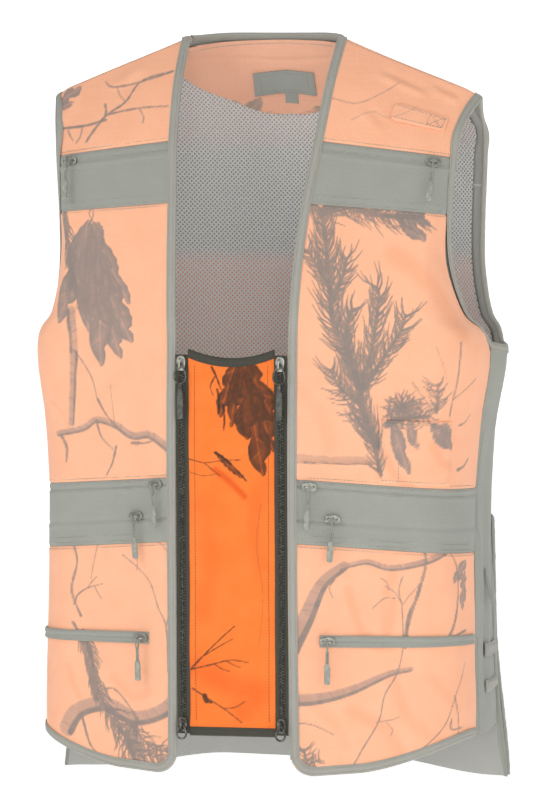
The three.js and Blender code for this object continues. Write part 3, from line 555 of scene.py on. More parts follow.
def paintFronts():
    # Both fronts on one canvas, in the print's plane
    c = Canvas(-251, 289, -16, 754, 0.6, 5)
    # wearer's right: yoke twig and small leaf
    c.branch([(-97, 36), (-126, 46), (-154, 53), (-162, 47)], (2.0, 1.4))
    c.branch([(-181, 107), (-176, 99), (-162, 81), (-143, 67), (-129, 47), (-106, 38)], (2.6, 1.3))
    c.branch([(-162, 80), (-129, 73), (-101, 71)], (2.0, 1.2))
    c.branch([(-129, 74), (-125, 82), (-126, 88)], (1.4, 1.0))
    c.branch([(-217, 95), (-183, 91), (-162, 85)], (2.4, 2.2))
    c.branch([(-163, 70), (-162, 76), (-163, 82)], (2.4, 2.6))
    c.branch([(-199, 96), (-197, 101), (-194, 106)], (1.8, 1.2))
    c.branch([(-185, 92), (-187, 102), (-191, 108)], (1.8, 1.2))
    c.branch([(-143, 67), (-149, 60), (-151, 52)], (1.3, 1.0))
    c.leaf((-213, 72), (-185, 52), 15, 2)
    c.leaf((-211, 76), (-193, 68), 9, 1)
    # hanging leaves on the chest
    for stem, tip, wide, lobes in (((-179, 184), (-211, 288), 34, 2), ((-181, 186), (-189, 276), 36, 1),
                                   ((-183, 204), (-181, 296), 26, 2), ((-174, 186), (-168, 330), 38, 3),
                                   ((-173, 200), (-140, 268), 24, 1), ((-171, 214), (-151, 284), 32, 2),
                                   ((-169, 240), (-137, 306), 30, 2), ((-169, 254), (-148, 322), 24, 2),
                                   ((-175, 214), (-177, 298), 30, 1), ((-171, 186), (-166, 214), 13, 1)):
        c.leaf(stem, tip, wide, lobes)
    c.branch([(-181, 192), (-175, 180), (-177, 168)], (1.3, 0.8))
    c.branch([(-173, 190), (-179, 178), (-173, 168)], (1.3, 0.8))
    c.sprig([(-209, 169), (-201, 204), (-197, 252)], 20, spread=0.3, wide=6)
    c.bark([(-198, 274), (-195, 316), (-198, 388)], (9, 5))
    c.branch([(-195, 314), (-179, 338), (-172, 364)], (1.4, 0.9))
    c.branch([(-172, 362), (-163, 378), (-149, 393)], (2.0, 1.4))
    c.bark([(-213, 398), (-187, 392), (-173, 383), (-153, 388), (-137, 398), (-119, 397), (-99, 411)],
           (5.5, 8))
    c.branch([(-173, 384), (-168, 400), (-156, 412)], (2.2, 1.0))
    c.branch([(-137, 405), (-125, 405), (-118, 403)], (3.2, 2.0))
    c.branch([(-153, 409), (-157, 426), (-163, 438)], (2.4, 1.2))
    c.branch([(-209, 400), (-203, 412), (-204, 426)], (3.4, 1.4))
    c.branch([(-159, 348), (-157, 368), (-155, 384)], (0.8, 0.6), 0.5)
    c.ghost([(-219, 366), (-205, 380), (-201, 394)], 3, 0.4)
    # wearer's right: lower front
    c.branch([(-199, 504), (-193, 524), (-198, 554), (-189, 580)], (2.2, 2.0))
    c.branch([(-195, 568), (-193, 560), (-183, 552), (-167, 547)], (2.2, 0.8))
    c.branch([(-183, 552), (-177, 544), (-173, 540)], (1.0, 0.5))
    c.branch([(-175, 550), (-171, 558), (-168, 562)], (0.9, 0.4))
    c.branch([(-171, 504), (-175, 522), (-179, 542)], (1.4, 0.8), 0.7)
    c.branch([(-197, 586), (-191, 598), (-183, 624), (-173, 664)], (2.4, 7))
    c.branch([(-147, 517), (-131, 530), (-119, 544), (-111, 568), (-103, 588), (-101, 632)], (0.9, 1.5))
    c.branch([(-103, 588), (-99, 570), (-91, 554)], (1.2, 0.8))
    c.branch([(-133, 512), (-132, 526), (-133, 532)], (0.9, 0.6), 0.7)
    c.branch([(-119, 498), (-105, 508), (-95, 526)], (0.9, 1.1), 0.7)
    c.bark([(-205, 706), (-191, 680), (-163, 668), (-135, 680), (-103, 669), (-81, 640)], (15, 14))
    c.bark([(-137, 680), (-137, 704), (-121, 738)], (12, 17))
    c.sprig([(-187, 596), (-179, 620), (-171, 654), (-155, 686), (-137, 706)], 19, spread=0.5, wide=7)
    c.sprig([(-159, 670), (-151, 686), (-139, 712), (-125, 720)], 22, spread=0.75, wide=4)
    c.sprig([(-139, 686), (-119, 708), (-99, 712)], 17, spread=0.8, wide=4)
    c.sprig([(-121, 716), (-105, 722), (-95, 732)], 16, spread=0.9, wide=3)
    c.branch([(-167, 654), (-155, 652), (-141, 668), (-125, 694)], (1.6, 1.2))
    c.branch([(-187, 688), (-179, 714), (-161, 730)], (3.0, 0.9))
    c.ghost([(-155, 640), (-137, 660), (-121, 654)], 9, 0.4)
    c.ghost([(-201, 632), (-197, 652), (-191, 664)], 6, 0.4)
    # wearer's left: yoke and chest, the big pine shoots
    c.branch([(81, 84), (103, 76), (121, 82), (149, 72)], (1.2, 0.6), 0.4)
    c.branch([(59, 62), (85, 68), (109, 60), (133, 48)], (1.3, 0.8), 0.6)
    c.sprig([(105, 406), (91, 368), (81, 324), (63, 286), (58, 244), (55, 208), (51, 172)], 30, 1.7, 0.5,
            wide=11)
    c.sprig([(89, 356), (101, 304), (107, 260), (105, 248)], 24, 1.8, 0.45, wide=7)
    c.sprig([(93, 348), (113, 316), (127, 294), (133, 276)], 23, 1.8, 0.5, wide=7)
    c.sprig([(81, 336), (75, 308), (77, 282), (81, 270)], 22, 1.8, 0.5, wide=10)
    c.sprig([(85, 362), (69, 348), (59, 330)], 22, 2.0, 0.6, wide=6)
    c.sprig([(103, 402), (91, 384), (79, 372)], 16, spread=0.7, wide=5)
    c.sprig([(61, 264), (73, 232), (75, 220)], 20, 1.8, 0.6, wide=7)
    c.sprig([(55, 246), (45, 226), (37, 212)], 20, 2.0, 0.5, wide=5)
    c.sprig([(51, 176), (74, 170), (109, 178), (151, 180)], 22, 1.8, 0.7, wide=12)
    c.sprig([(109, 434), (105, 416), (97, 394)], 18, spread=0.6, wide=6)
    for turn in range(0, 360, 24):
        # a small cone among the needles
        reach = math.radians(turn)
        c.sprig([(131, 368), (131 + 16 * math.cos(reach), 368 + 14 * math.sin(reach))], 8, 3.0, 0.5, wide=4)
    c.sprig([(115, 384), (133, 378), (157, 376)], 16, spread=0.9, wide=9)
    c.sprig([(162, 372), (163, 356), (162, 344)], 16, 2.2, 0.9, wide=6)
    c.branch([(139, 342), (151, 360), (163, 374)], (1.6, 1.4), 0.6)
    c.branch([(187, 304), (183, 336), (177, 376)], (1.7, 1.9))
    c.branch([(179, 360), (195, 350), (211, 340)], (1.4, 0.9))
    c.branch([(191, 386), (201, 383), (209, 376)], (2.0, 0.9))
    c.branch([(161, 308), (167, 326), (171, 340)], (1.6, 0.8), 0.35)
    c.leaf((120, 382), (137, 434), 20, 1)
    c.leaf((136, 382), (144, 409), 13, 1)
    c.leaf((157, 384), (182, 410), 22, 1)
    c.leaf((169, 382), (179, 410), 17, 1)
    c.leaf((125, 172), (153, 204), 25, 1)
    c.leaf((139, 170), (158, 190), 16, 1)
    # along the chest flap's edge: a wide pale branch of the print, and under it a thin dark line that is
    # painted shadow of the flap edge
    c.branch([(21, 416), (65, 419), (109, 419)], (6, 7), 0.4)
    c.branch([(21, 421), (65, 423), (110, 423)], (1.5, 1.5), 0.9)
    c.branch([(193, 430), (205, 426), (213, 418)], (3, 1.5))
    c.ghost([(121, 216), (149, 236), (175, 266), (191, 294)], 17, 0.5)
    c.ghost([(29, 352), (51, 380), (59, 404)], 14, 0.25)
    c.ghost([(113, 414), (125, 436), (139, 446)], 8, 0.5)
    c.ghost([(159, 404), (169, 422), (179, 426)], 9, 0.5)
    # wearer's left: lower front
    c.bark([(19, 606), (35, 576), (51, 542), (73, 524)], (20, 9))
    c.bark([(69, 526), (95, 520), (119, 526), (153, 520), (177, 510)], (5, 7))
    c.branch([(63, 538), (58, 546), (62, 556)], (1.4, 0.6))
    c.bark([(17, 658), (47, 656), (79, 648), (117, 632), (139, 628)], (13, 5))
    c.branch([(153, 510), (153, 526), (145, 554), (137, 576), (133, 604)], (2.2, 5))
    c.branch([(182, 512), (191, 526), (193, 548), (187, 576), (179, 594)], (1.4, 3.4))
    c.leaf((209, 520), (185, 542), 17, 2)
    c.leaf((205, 530), (199, 570), 15, 2)
    c.branch([(141, 604), (169, 598), (205, 590)], (3, 2))
    c.branch([(130, 562), (131, 604), (125, 632), (113, 654), (107, 680), (89, 710), (75, 740)], (0.9, 1.6))
    c.branch([(130, 562), (123, 550), (113, 544)], (1.0, 0.5))
    c.branch([(123, 556), (113, 556), (101, 566)], (0.9, 0.4))
    c.branch([(130, 562), (127, 548), (131, 534)], (1.1, 0.5))
    c.branch([(131, 562), (139, 552), (149, 540)], (0.9, 0.5))
    c.branch([(117, 548), (115, 540), (109, 536)], (0.6, 0.4))
    c.branch([(105, 680), (117, 680), (127, 678)], (0.7, 0.5), 0.7)
    c.branch([(115, 682), (121, 690), (119, 696)], (0.7, 0.4), 0.7)
    c.branch([(203, 626), (187, 664), (175, 696), (159, 712), (127, 732)], (1.0, 1.5))
    c.branch([(185, 666), (189, 688), (191, 708)], (1.2, 1.6))
    c.branch([(181, 694), (181, 706), (197, 708)], (1.8, 1.2))
    c.branch([(191, 708), (189, 724), (181, 734)], (1.0, 0.7))
    c.branch([(19, 680), (41, 682), (63, 692)], (1.0, 0.7))
    c.branch([(37, 728), (51, 732), (65, 744)], (1.2, 0.8))
    c.sprig([(37, 728), (35, 716), (33, 706)], 13, 2.0, 1.0, wide=6)
    c.sprig([(29, 722), (41, 720), (49, 716)], 10, 2.0, 1.0, wide=4)
    c.ghost([(77, 548), (89, 586), (111, 604), (121, 560)], 9, 0.5)
    c.ghost([(121, 534), (113, 560), (117, 604)], 10, 0.4)
    c.ghost([(79, 668), (113, 688), (133, 724)], 12, 0.45)
    c.ghost([(121, 640), (139, 684), (169, 716)], 12, 0.4)
    c.ghost([(159, 640), (189, 684)], 10, 0.3)
    c.ghost([(29, 654), (59, 676), (75, 702)], 10, 0.3)
    return c


def paintInsert():
    # The insert's own canvas, drawn finer
    c = Canvas(-91, 19, 300, 710, 0.4, 11)
    for stem, tip, wide, lobes in (((-33, 320), (-50, 378), 22, 2), ((-29, 320), (-39, 388), 20, 1),
                                   ((-27, 318), (-7, 436), 38, 3), ((-23, 322), (5, 384), 30, 2),
                                   ((-27, 330), (-23, 400), 34, 2), ((-17, 344), (3, 412), 26, 2)):
        c.leaf(stem, tip, wide, lobes)
    c.branch([(-58, 328), (-53, 338), (-48, 350)], (2.2, 1.4), 1.0)
    c.branch([(-55, 338), (-59, 348), (-56, 356)], (1.4, 0.7), 1.0)
    c.branch([(-52, 350), (-50, 364), (-51, 374)], (2.6, 1.4), 1.0)
    c.branch([(-46, 366), (-45, 380), (-46, 391)], (2.4, 1.2), 1.0)
    c.leaf((-55, 412), (-23, 441), 9, 1)
    c.branch([(-54, 413), (-39, 424), (-23, 441)], (2.6, 1.0), 1.0)
    c.ghost([(-54, 430), (-39, 442), (-25, 456)], 6, 0.9)
    c.branch([(-83, 419), (-65, 423), (-49, 421), (-29, 420)], (1.1, 0.8), 0.9)
    c.branch([(-65, 423), (-57, 430), (-49, 436)], (0.9, 0.5), 0.9)
    c.branch([(-81, 432), (-67, 436), (-51, 434)], (0.9, 0.6), 0.6)
    c.branch([(-79, 629), (-65, 614), (-49, 598), (-35, 585)], (1.8, 0.9), 0.9)
    c.branch([(-65, 615), (-51, 606), (-37, 598)], (1.2, 0.6), 0.9)
    c.branch([(-79, 629), (-59, 624), (-39, 619), (-21, 621)], (1.6, 0.8), 0.9)
    c.branch([(-55, 623), (-47, 628), (-40, 630)], (1.0, 0.5), 0.9)
    c.branch([(-43, 620), (-35, 624), (-29, 626)], (0.9, 0.5), 0.9)
    c.branch([(-77, 648), (-61, 658), (-45, 668), (-28, 681)], (1.7, 0.9), 0.9)
    c.branch([(-65, 655), (-63, 660), (-58, 661)], (4.2, 3.0), 1.0)
    c.branch([(-47, 667), (-35, 666), (-25, 660)], (1.1, 0.5), 0.8)
    c.branch([(-9, 464), (-13, 504), (-7, 554), (-11, 604)], (0.9, 0.6), 0.3)
    c.ghost([(-71, 628), (-45, 642), (-13, 652), (-25, 668)], 22, 0.45)
    c.ghost([(-9, 444), (-15, 484), (-9, 524)], 14, 0.25)
    c.ghost([(-67, 464), (-59, 524), (-65, 574)], 16, 0.2)
    return c


def paintBack():
    # The back and the neck facing share a canvas of their own
    c = Canvas(-300, 300, -20, 790, 0.8, 23)
    c.bark([(-230, 250), (-150, 232), (-80, 250), (-20, 238)], (9, 5))
    c.bark([(30, 420), (90, 392), (150, 400), (230, 372)], (6, 11))
    c.bark([(-120, 760), (-104, 690), (-128, 610)], (15, 7))
    c.bark([(120, 760), (96, 690), (112, 600), (92, 540)], (10, 5))
    for x, y, tilt in [(-150, 330, 0.3), (-40, 300, -0.4), (90, 280, 0.2), (170, 460, -0.2), (-70, 480, 0.5)]:
        c.leaf((x, y), (x + 60 * math.sin(tilt), y + 74), 40, 3)
        c.leaf((x + 8, y - 2), (x + 8 + 50 * math.sin(tilt + 0.9), y + 50), 30, 2)
        c.branch([(x, y), (x + 3, y - 18), (x - 4, y - 40)], (1.6, 1.0))
    for x, y, tilt in [(-190, 420, 0.2), (20, 240, -0.3), (190, 330, 0.1), (10, 620, 0.4), (-180, 640, -0.3)]:
        end = (x + 90 * math.sin(tilt), y - 100 * math.cos(tilt))
        c.sprig([(x, y), (mix(x, end[0], 0.5) + 5, mix(y, end[1], 0.5)), end], 21, spread=0.5, wide=6)
        c.sprig([(x, y), (x - 26, y - 34), (x - 38, y - 62)], 17, spread=0.6, wide=4)
    for x, y in [(-60, 660), (60, 560), (140, 640), (-200, 540), (150, 200), (-100, 400), (20, 360)]:
        c.branch([(x, y), (x + 14, y - 30), (x + 8, y - 66), (x + 22, y - 96)], (1.6, 0.8))
        c.branch([(x + 14, y - 30), (x + 32, y - 44), (x + 40, y - 60)], (1.1, 0.5))
    # the yoke and the facing
    c.sprig([(-120, 118), (-84, 96), (-48, 84)], 22, spread=0.7, wide=7)
    c.sprig([(-70, 64), (-52, 84), (-24, 98)], 20, spread=0.7, wide=8)
    c.sprig([(10, 108), (40, 92), (74, 70)], 20, spread=0.7, wide=7)
    c.bark([(-96, 110), (-40, 92), (20, 100), (88, 78)], (7, 4))
    c.leaf((-30, 62), (-62, 98), 22, 2)
    c.leaf((26, 70), (60, 106), 24, 3)
    c.leaf((96, 90), (150, 128), 30, 3)
    c.ghost([(-60, 330), (-30, 420), (-60, 520)], 22, 0.4)
    c.ghost([(70, 330), (110, 470), (80, 620)], 22, 0.4)
    c.ghost([(-200, 560), (-150, 620), (-170, 700)], 20, 0.4)
    return c


frontPaint, insertPaint, backPaint = paintFronts(), paintInsert(), paintBack()
print("the print is drawn")

# ---------- mesh building ----------

settleLook = dict(underarm=5, hemRise=26, ventRise=8, backDrop=22, backFlare=11, neckStand=3)


def settle(points):
    # How the sewn vest hangs: fuller under the arms, its hem cut up towards the side vents,
    # its back longer and flared, and the back of the neck standing up
    points = np.array(points, float)
    x, y, z = points.T
    wide, low = abs(x), ease((-z - 590) / 145)
    backPart = ease((y - 40) / 6)
    rise = settleLook["hemRise"] * np.clip((wide - 125) / 97, 0, 1) ** 1.6
    rise = rise + settleLook["ventRise"] * ease((y + 30) / 70)
    flare = settleLook["backFlare"] * backPart * ease((wide - 110) / 110) * low
    fuller = settleLook["underarm"] * np.exp(-((z + 325) / 55) ** 2) * ease((wide - 150) / 75)
    longer = settleLook["backDrop"] * mix(0.2, 1, ease((wide - 80) / 120))
    points[:, 2] += low * (rise * (1 - backPart) - longer * backPart)
    neckPart = ease((y + 12) / 50) * ease((115 - wide) / 60) * ease((z + 80) / 70)
    points[:, 2] += settleLook["neckStand"] * neckPart
    points[:, 0] += np.sign(x) * (flare + fuller)
    return points


def makeObject(name, points, faces, materials, body, stands=(), slot=None, uv=None, paint=None,
               faceSlots=None, crease=50):
    # points in millimetres; uv in millimetres along and across the cloth, one per point
    mesh = bpy.data.meshes.new(name)
    if body == "shell":
        points = settle(points)
    mesh.from_pydata((np.asarray(points) * mm).tolist(), [], faces)
    for material in materials:
        mesh.materials.append(material)
    if faceSlots is not None:
        mesh.polygons.foreach_set("material_index", np.asarray(faceSlots, np.int32))
    mesh.polygons.foreach_set("use_smooth", np.ones(len(mesh.polygons), bool))
    corners = np.empty(len(mesh.loops), np.int32)
    mesh.loops.foreach_get("vertex_index", corners)
    places = np.asarray(points)[:, :2] if uv is None else np.asarray(uv)
    layer = mesh.uv_layers.new(name="cloth")
    layer.data.foreach_set("uv", (places[corners] * mm).ravel().astype(np.float32))
    if paint is not None:
        colours = np.ones((len(points), 4), np.float32)
        colours[:, :3] = paint
        mesh.color_attributes.new("print", "FLOAT_COLOR", "POINT").data.foreach_set("color", colours.ravel())
    mesh.update()
    if crease:
        mesh.set_sharp_from_angle(angle=math.radians(crease))
    thing = addToScene(bpy.data.objects.new(name, mesh))
    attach(thing, body)
    if stands:
        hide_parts(*stands)
    return thing


def spotsAt(part, u, v):
    # Points, normals and run along the row; u below 0 is the mirrored half
    flip = u < 0
    p, n = part["surface"](abs(u), v), normalsAt(part, np.clip(abs(u), 0.004, 0.996), max(v, 0.02))
    table = np.linspace(0, 1, 41)
    line = part["surface"](table, v)
    run = np.concatenate([[0], np.cumsum(np.linalg.norm(np.diff(line, axis=0), axis=1))])
    s = np.interp(abs(u), table, run)
    p[flip, 0] *= -1
    n[flip, 0] *= -1
    return p, n, np.where(flip, -s, s)


def clothGrid(part, rows, ends, step, mirror=False):
    # rows = (first, last) row number; ends(v) = the two u ends of a row. Counts are multiples of 4.
    low, high = ends((rows[0] + rows[1]) / 2)
    wide = rowLength(part, (rows[0] + rows[1]) / 2) * abs(high - low)
    samples = part["surface"](np.array([0.5]), rows[0]), part["surface"](np.array([0.5]), rows[1])
    tall = float(np.linalg.norm(samples[0] - samples[1]))
    across, down = [max(1, round(length / step / 4)) * 4 for length in (wide, tall)]
    found = []
    for v in np.linspace(rows[0], rows[1], down + 1):
        low, high = ends(v)
        p, n, s = spotsAt(part, np.linspace(low, high, across + 1), v)
        if mirror:
            p[:, 0] *= -1
            n[:, 0] *= -1
        found.append((p, n, s))
    p, n, s = [np.stack([f[i] for f in found]) for i in range(3)]
    drops = np.cumsum(np.linalg.norm(np.diff(p, axis=0, prepend=p[:1]), axis=2), axis=0)
    return dict(p=p, n=n, s=s, drop=drops, rise=drops[-1:] - drops, low=s - s[:, :1], high=s[:, -1:] - s,
                mirror=mirror)


# The front print and the folds lie in an upright plane through the part's origin, turned 17 degrees to
# face the wearer's left. Places in it are millimetres across from the origin and down from it. A front
# piece is laid out by its run from the opening edge, so the print isn't squeezed where the side turns.
printPlane = dict(sideways=0.956, depth=0.292, middle=0.5)
printPace = {False: 0.999, True: -0.842}


def acrossPrint(p):
    return printPlane["middle"] + printPlane["sideways"] * p[..., 0] + printPlane["depth"] * p[..., 1]


def frontal(grid):
    # Place of each point of a front piece in the print's plane
    pace = printPace[grid["mirror"]]
    edge = acrossPrint(grid["p"][:, :1]) - pace * grid["s"][:, :1]
    return edge + pace * grid["s"], -grid["p"][..., 2]


def ripples(a, b, seed, length, count=6):
    # Smooth irregular waves about length millimetres long, between -1 and 1
    chance = random.Random(seed)
    total = 0
    for _ in range(count):
        angle = chance.uniform(0, 2 * math.pi)
        pace = 2 * math.pi / (length * chance.uniform(0.7, 1.6))
        total = total + np.sin(pace * (a * math.cos(angle) + b * math.sin(angle)) + chance.uniform(0, 6.3))
    return total / count * 1.4


def relief(grid, look, seed):
    # How far the cloth stands out from its even surface, in millimetres
    out = look.get("drape", 0) * ripples(grid["s"], grid["drop"] * 0.6, seed, 70)
    out = out + look.get("crumple", 0) * ripples(grid["s"], grid["drop"], seed + 1, 16, 9)
    for number, edge in enumerate(look.get("seams", ())):
        gap = grid[edge]
        along = grid["s"] if edge in ("drop", "rise") else grid["drop"]
        gather = ripples(along, gap * 0.3, seed + 5 + number, 8)
        out = out - look["seamDepth"] * np.exp(-(gap / 1.7) ** 2)
        out = out + look["pucker"] * gather * np.exp(-gap / 8) * (1 - np.exp(-gap / 1.5))
    for distance, depth, width in look.get("grooves", ()):
        out = out - depth * np.exp(-((grid["drop"] - distance) / width) ** 2)
    if "folds" in look:
        x, y = frontal(grid)
        for a, b, height, width in look["folds"]:
            run = np.subtract(b, a)
            t = ((x - a[0]) * run[0] + (y - a[1]) * run[1]) / (run @ run)
            gap = ((x - a[0]) * run[1] - (y - a[1]) * run[0]) / np.hypot(*run)
            fade = ease(np.clip(t * 4, 0, 1) * np.clip((1 - t) * 4, 0, 1))
            crest, trough = np.exp(-(gap / width) ** 2), np.exp(-((gap - 1.6 * width) / width) ** 2)
            out = out + height * fade * (crest - 0.5 * trough)
    return out


def closeSheet(name, fine, back, uv, materials, paint=None, **more):
    # A detailed face and a plain back face with a quarter of its points, closed all round
    rows, columns = fine.shape[:2]
    plain = back[::4, ::4]
    start = rows * columns
    backRows, backColumns = plain.shape[:2]
    at0 = np.arange(start).reshape(rows, columns)
    at1 = start + np.arange(backRows * backColumns).reshape(backRows, backColumns)
    front = np.stack([at0[:-1, :-1], at0[:-1, 1:], at0[1:, 1:], at0[1:, :-1]], -1).reshape(-1, 4)
    behind = np.stack([at1[:-1, :-1], at1[1:, :-1], at1[1:, 1:], at1[:-1, 1:]], -1).reshape(-1, 4)
    faces = front.tolist() + behind.tolist()
    for row0, row1, turn in ((at0[0], at1[0], 1), (at0[-1], at1[-1], -1), (at0[:, 0], at1[:, 0], -1),
                             (at0[:, -1], at1[:, -1], 1)):
        for j in range(len(row1) - 1):
            loop = [int(i) for i in row0[4 * j:4 * j + 5]][::-1] + [int(row1[j]), int(row1[j + 1])]
            faces.append(loop[::turn])
    points = np.concatenate([fine.reshape(-1, 3), plain.reshape(-1, 3)])
    # turned over where the fine face looks inward
    first = fine[0, 0], fine[0, 1], fine[1, 0]
    facing = np.cross(first[1] - first[0], first[2] - first[0]) @ (fine[0, 0] - back[0, 0])
    if facing < 0:
        faces = [f[::-1] for f in faces]
    places = np.concatenate([uv.reshape(-1, 2), uv[::4, ::4].reshape(-1, 2)])
    if paint is not None:
        paint = np.concatenate([paint.reshape(-1, 3), np.zeros((plain.shape[0] * plain.shape[1], 3))])
    kinds = [0] * len(front) + [1] * len(behind) + [0] * (len(faces) - len(front) - len(behind))
    return makeObject(name, points, faces, materials, uv=places, paint=paint, faceSlots=kinds, **more)


def sewCloth(name, part, rows, ends, look, seed, mirror=False, canvas=None, between=(-clothHalf, clothHalf),
             face=1, **more):
    # One cut piece between its seams. face=1 puts the detail on the outside, -1 on the inside.
    grid = clothGrid(part, rows, ends, look["step"], mirror)
    shape = relief(grid, look, seed)[..., None]
    inner, outer = between
    bulge = look.get("bulge", 0) * edgeRise(grid, look.get("bulgeRun", 12))[..., None]
    if face > 0:
        fine, back = grid["p"] + grid["n"] * (outer + shape + bulge), grid["p"] + grid["n"] * inner
    else:
        fine, back = grid["p"] + grid["n"] * (inner - shape - bulge), grid["p"] + grid["n"] * outer
    paint = None
    if canvas is frontPaint:
        paint = canvas.read(*frontal(grid))
    elif canvas is not None:
        paint = canvas.read(grid["s"], -grid["p"][..., 2])
    uv = np.stack([grid["s"], -grid["p"][..., 2]], -1)
    return grid, closeSheet(name, fine, back, uv, look["materials"], paint, **more)


def rowNear(grid, edge, distance, column=None):
    # The row nearest to this distance from an edge, found at one column
    column = grid[edge].shape[1] // 2 if column is None else column
    return int(np.argmin(abs(grid[edge][:, column] - distance)))


def endsInside(part, near, far):
    # Row ends this many millimetres in from the two edges of a part
    return lambda v: (uFor(part, v, near), 1 - uFor(part, v, far))


def edgeRise(grid, run):
    # 0 at the edges, rising smoothly to 1 a run's length inside them
    near = np.minimum.reduce([grid["drop"], grid["rise"], grid["low"], grid["high"]])
    return ease(near / run)


# ---------- stitches, collected and made as one mesh for each thread ----------

class Thread:
    def __init__(self, pitch, long, wide):
        self.pitch, self.long, self.wide = pitch, long, wide
        self.points, self.blocks = [], []

    def sew(self, line, normals, side=0.0, out=0.0):
        # Stitches along a line, moved aside by side and out of the cloth by out
        line, normals = np.asarray(line), unit(np.asarray(normals))
        lengths = np.concatenate([[0], np.cumsum(np.linalg.norm(np.diff(line, axis=0), axis=1))])
        places = np.arange(self.pitch / 2, lengths[-1], self.pitch)
        if len(places) < 1:
            return
        centre = np.stack([np.interp(places, lengths, line[:, i]) for i in range(3)], 1)
        up = unit(np.stack([np.interp(places, lengths, normals[:, i]) for i in range(3)], 1))
        after, before = [np.stack([np.interp(places + d, lengths, line[:, i]) for i in range(3)], 1)
                         for d in (0.5, -0.5)]
        along = unit(after - before)
        over = unit(np.cross(up, along))
        centre = centre + over * side + up * out
        for end, thin in ((-0.5, 0.55), (-0.2, 1), (0.2, 1), (0.5, 0.55)):
            for a, b in ((-1, -0.6), (1, -0.6), (0.6, 0.8), (-0.6, 0.8)):
                self.points.append(centre + along * end * self.long + over * a * self.wide / 2 * thin
                                   + up * b * self.wide / 2 * thin)
        self.blocks.append(len(places))

    def make(self, name, material, body, slot):
        points, faces, start, first = [], [], 0, 0
        for size in self.blocks:
            block = np.stack(self.points[first:first + 16], 1).reshape(-1, 3)
            first += 16
            base = start + 16 * np.arange(size)[:, None]
            pattern = [(r * 4 + k, r * 4 + (k + 1) % 4, r * 4 + 4 + (k + 1) % 4, r * 4 + 4 + k)
                       for r in range(3) for k in range(4)] + [(3, 2, 1, 0), (12, 13, 14, 15)]
            for quad in pattern:
                faces += (base + np.array(quad)).tolist()
            points.append(block)
            start += len(block)
        return makeObject(name, np.concatenate(points), faces, [material], body, slot=slot, crease=0)


# ---------- looks ----------

shellLook = dict(ground="#f4ae88", groundWorn="#f9bb98", shade="#eba27c", leaf="#a38c82", twig="#887d76",
                 weavePitch=0.0012, weaveDepth=0.35, roughness=0.88, sheen=0.12)
insertLook = dict(ground="#f4701f", groundWorn="#fa8336", shade="#e2570f", leaf="#70391b", twig="#30271b",
                  weavePitch=0.0012, weaveDepth=0.4, roughness=0.85, sheen=0.1)
bandLook = dict(ground="#95968d", groundWorn="#9d9e96", weavePitch=0.0013, weaveDepth=0.45, roughness=0.9,
                sheen=0.12)
facingLook = dict(ground="#f3b596", groundWorn="#f7bc9f", shade="#e0a07c", leaf="#b39c8c", twig="#98938a",
                  weavePitch=0.0012, weaveDepth=0.35, roughness=0.9, sheen=0.1)
insideLook = dict(ground="#b4b4ae", groundWorn="#bdbdb7", weavePitch=0.0014, weaveDepth=0.3, roughness=0.92,
                  sheen=0.08)
# the net's ground is painted lighter than the net itself, as painted light against the shade inside the vest;
# the two colours behind are the cloth behind the holes, darkened as painted shade
netLook = dict(ground="#dedddb", shadedGreyBehind="#9b9b96", shadedOrangeBehind="#f0a388", pitch=0.0033, hole=0.36)
# the rib crowns of both tapes get a painted highlight colour, mixed in by the amount that follows it
bindingLook = dict(ground="#97958c", groundWorn="#a2a097", ribHighlight="#adaba2", ribHighlightShow=0.35, ribPitch=0.0011,
                   ribDepth=0.5, roughness=0.82)
darkLook = dict(ground="#2f2e25", groundWorn="#3c3b30", ribHighlight="#5a584a", ribHighlightShow=0.35, ribPitch=0.0011,
                ribDepth=0.6, roughness=0.75)
threadLook = dict(ground="#a9a89e", worn="#9a998f", roughness=0.7, metallic=0.0, wearScale=200.0)
darkThreadLook = dict(ground="#57564a", worn="#4a493e", roughness=0.7, metallic=0.0, wearScale=200.0)
toothLook = dict(ground="#23231d", worn="#5a594e", roughness=0.38, metallic=0.0, wearScale=420.0)
steelLook = dict(ground="#b9b9b2", worn="#8d8d86", roughness=0.34, metallic=1.0, wearScale=260.0)
darkSteelLook = dict(ground="#4a4a44", worn="#7c7c73", roughness=0.36, metallic=0.9, wearScale=260.0)
cordLook = dict(ground="#3f3f38", worn="#56564c", roughness=0.7, metallic=0.0, wearScale=500.0)
gripLook = dict(ground="#41423c", worn="#5d5e55", roughness=0.5, metallic=0.0, wearScale=240.0)
fadedGripLook = dict(ground="#8b8d84", worn="#a3a59b", roughness=0.5, metallic=0.0, wearScale=240.0)
labelLook = dict(ground="#999b94", groundWorn="#a3a59e", weavePitch=0.0008, weaveDepth=0.3, roughness=0.7,
                 sheen=0.1)

shellCloth = clothMaterial("polyester_brushed_printed_faded", shellLook)
insertCloth = clothMaterial("polyester_brushed_printed", insertLook)
bandCloth = clothMaterial("polyester_woven_olive_faded", bandLook)
facingCloth = clothMaterial("polyester_printed_shaded", facingLook)
insideCloth = clothMaterial("polyester_lining_grey", insideLook)
netCloth = meshMaterial("polyester_net_knitted", netLook)
bindingTape = ribbedMaterial("binding_grosgrain_faded", bindingLook)
darkTape = ribbedMaterial("binding_grosgrain_dark", darkLook)
labelCloth = clothMaterial("label_damask_woven", labelLook)
threadYarn = solidMaterial("thread_polyester_pale", threadLook)
darkThread = solidMaterial("thread_polyester_dark", darkThreadLook)
toothPlastic = solidMaterial("zip_teeth_acetal_moulded", toothLook)
steel = solidMaterial("zinc_cast_satin", steelLook)
darkSteel = solidMaterial("zinc_cast_blackened", darkSteelLook)
cordYarn = solidMaterial("cord_nylon_braided", cordLook)
gripPlastic = solidMaterial("grip_rubber_moulded_dark", gripLook)
fadedGrip = solidMaterial("grip_rubber_moulded_faded", fadedGripLook)
print("materials are made")

# ---------- fronts ----------

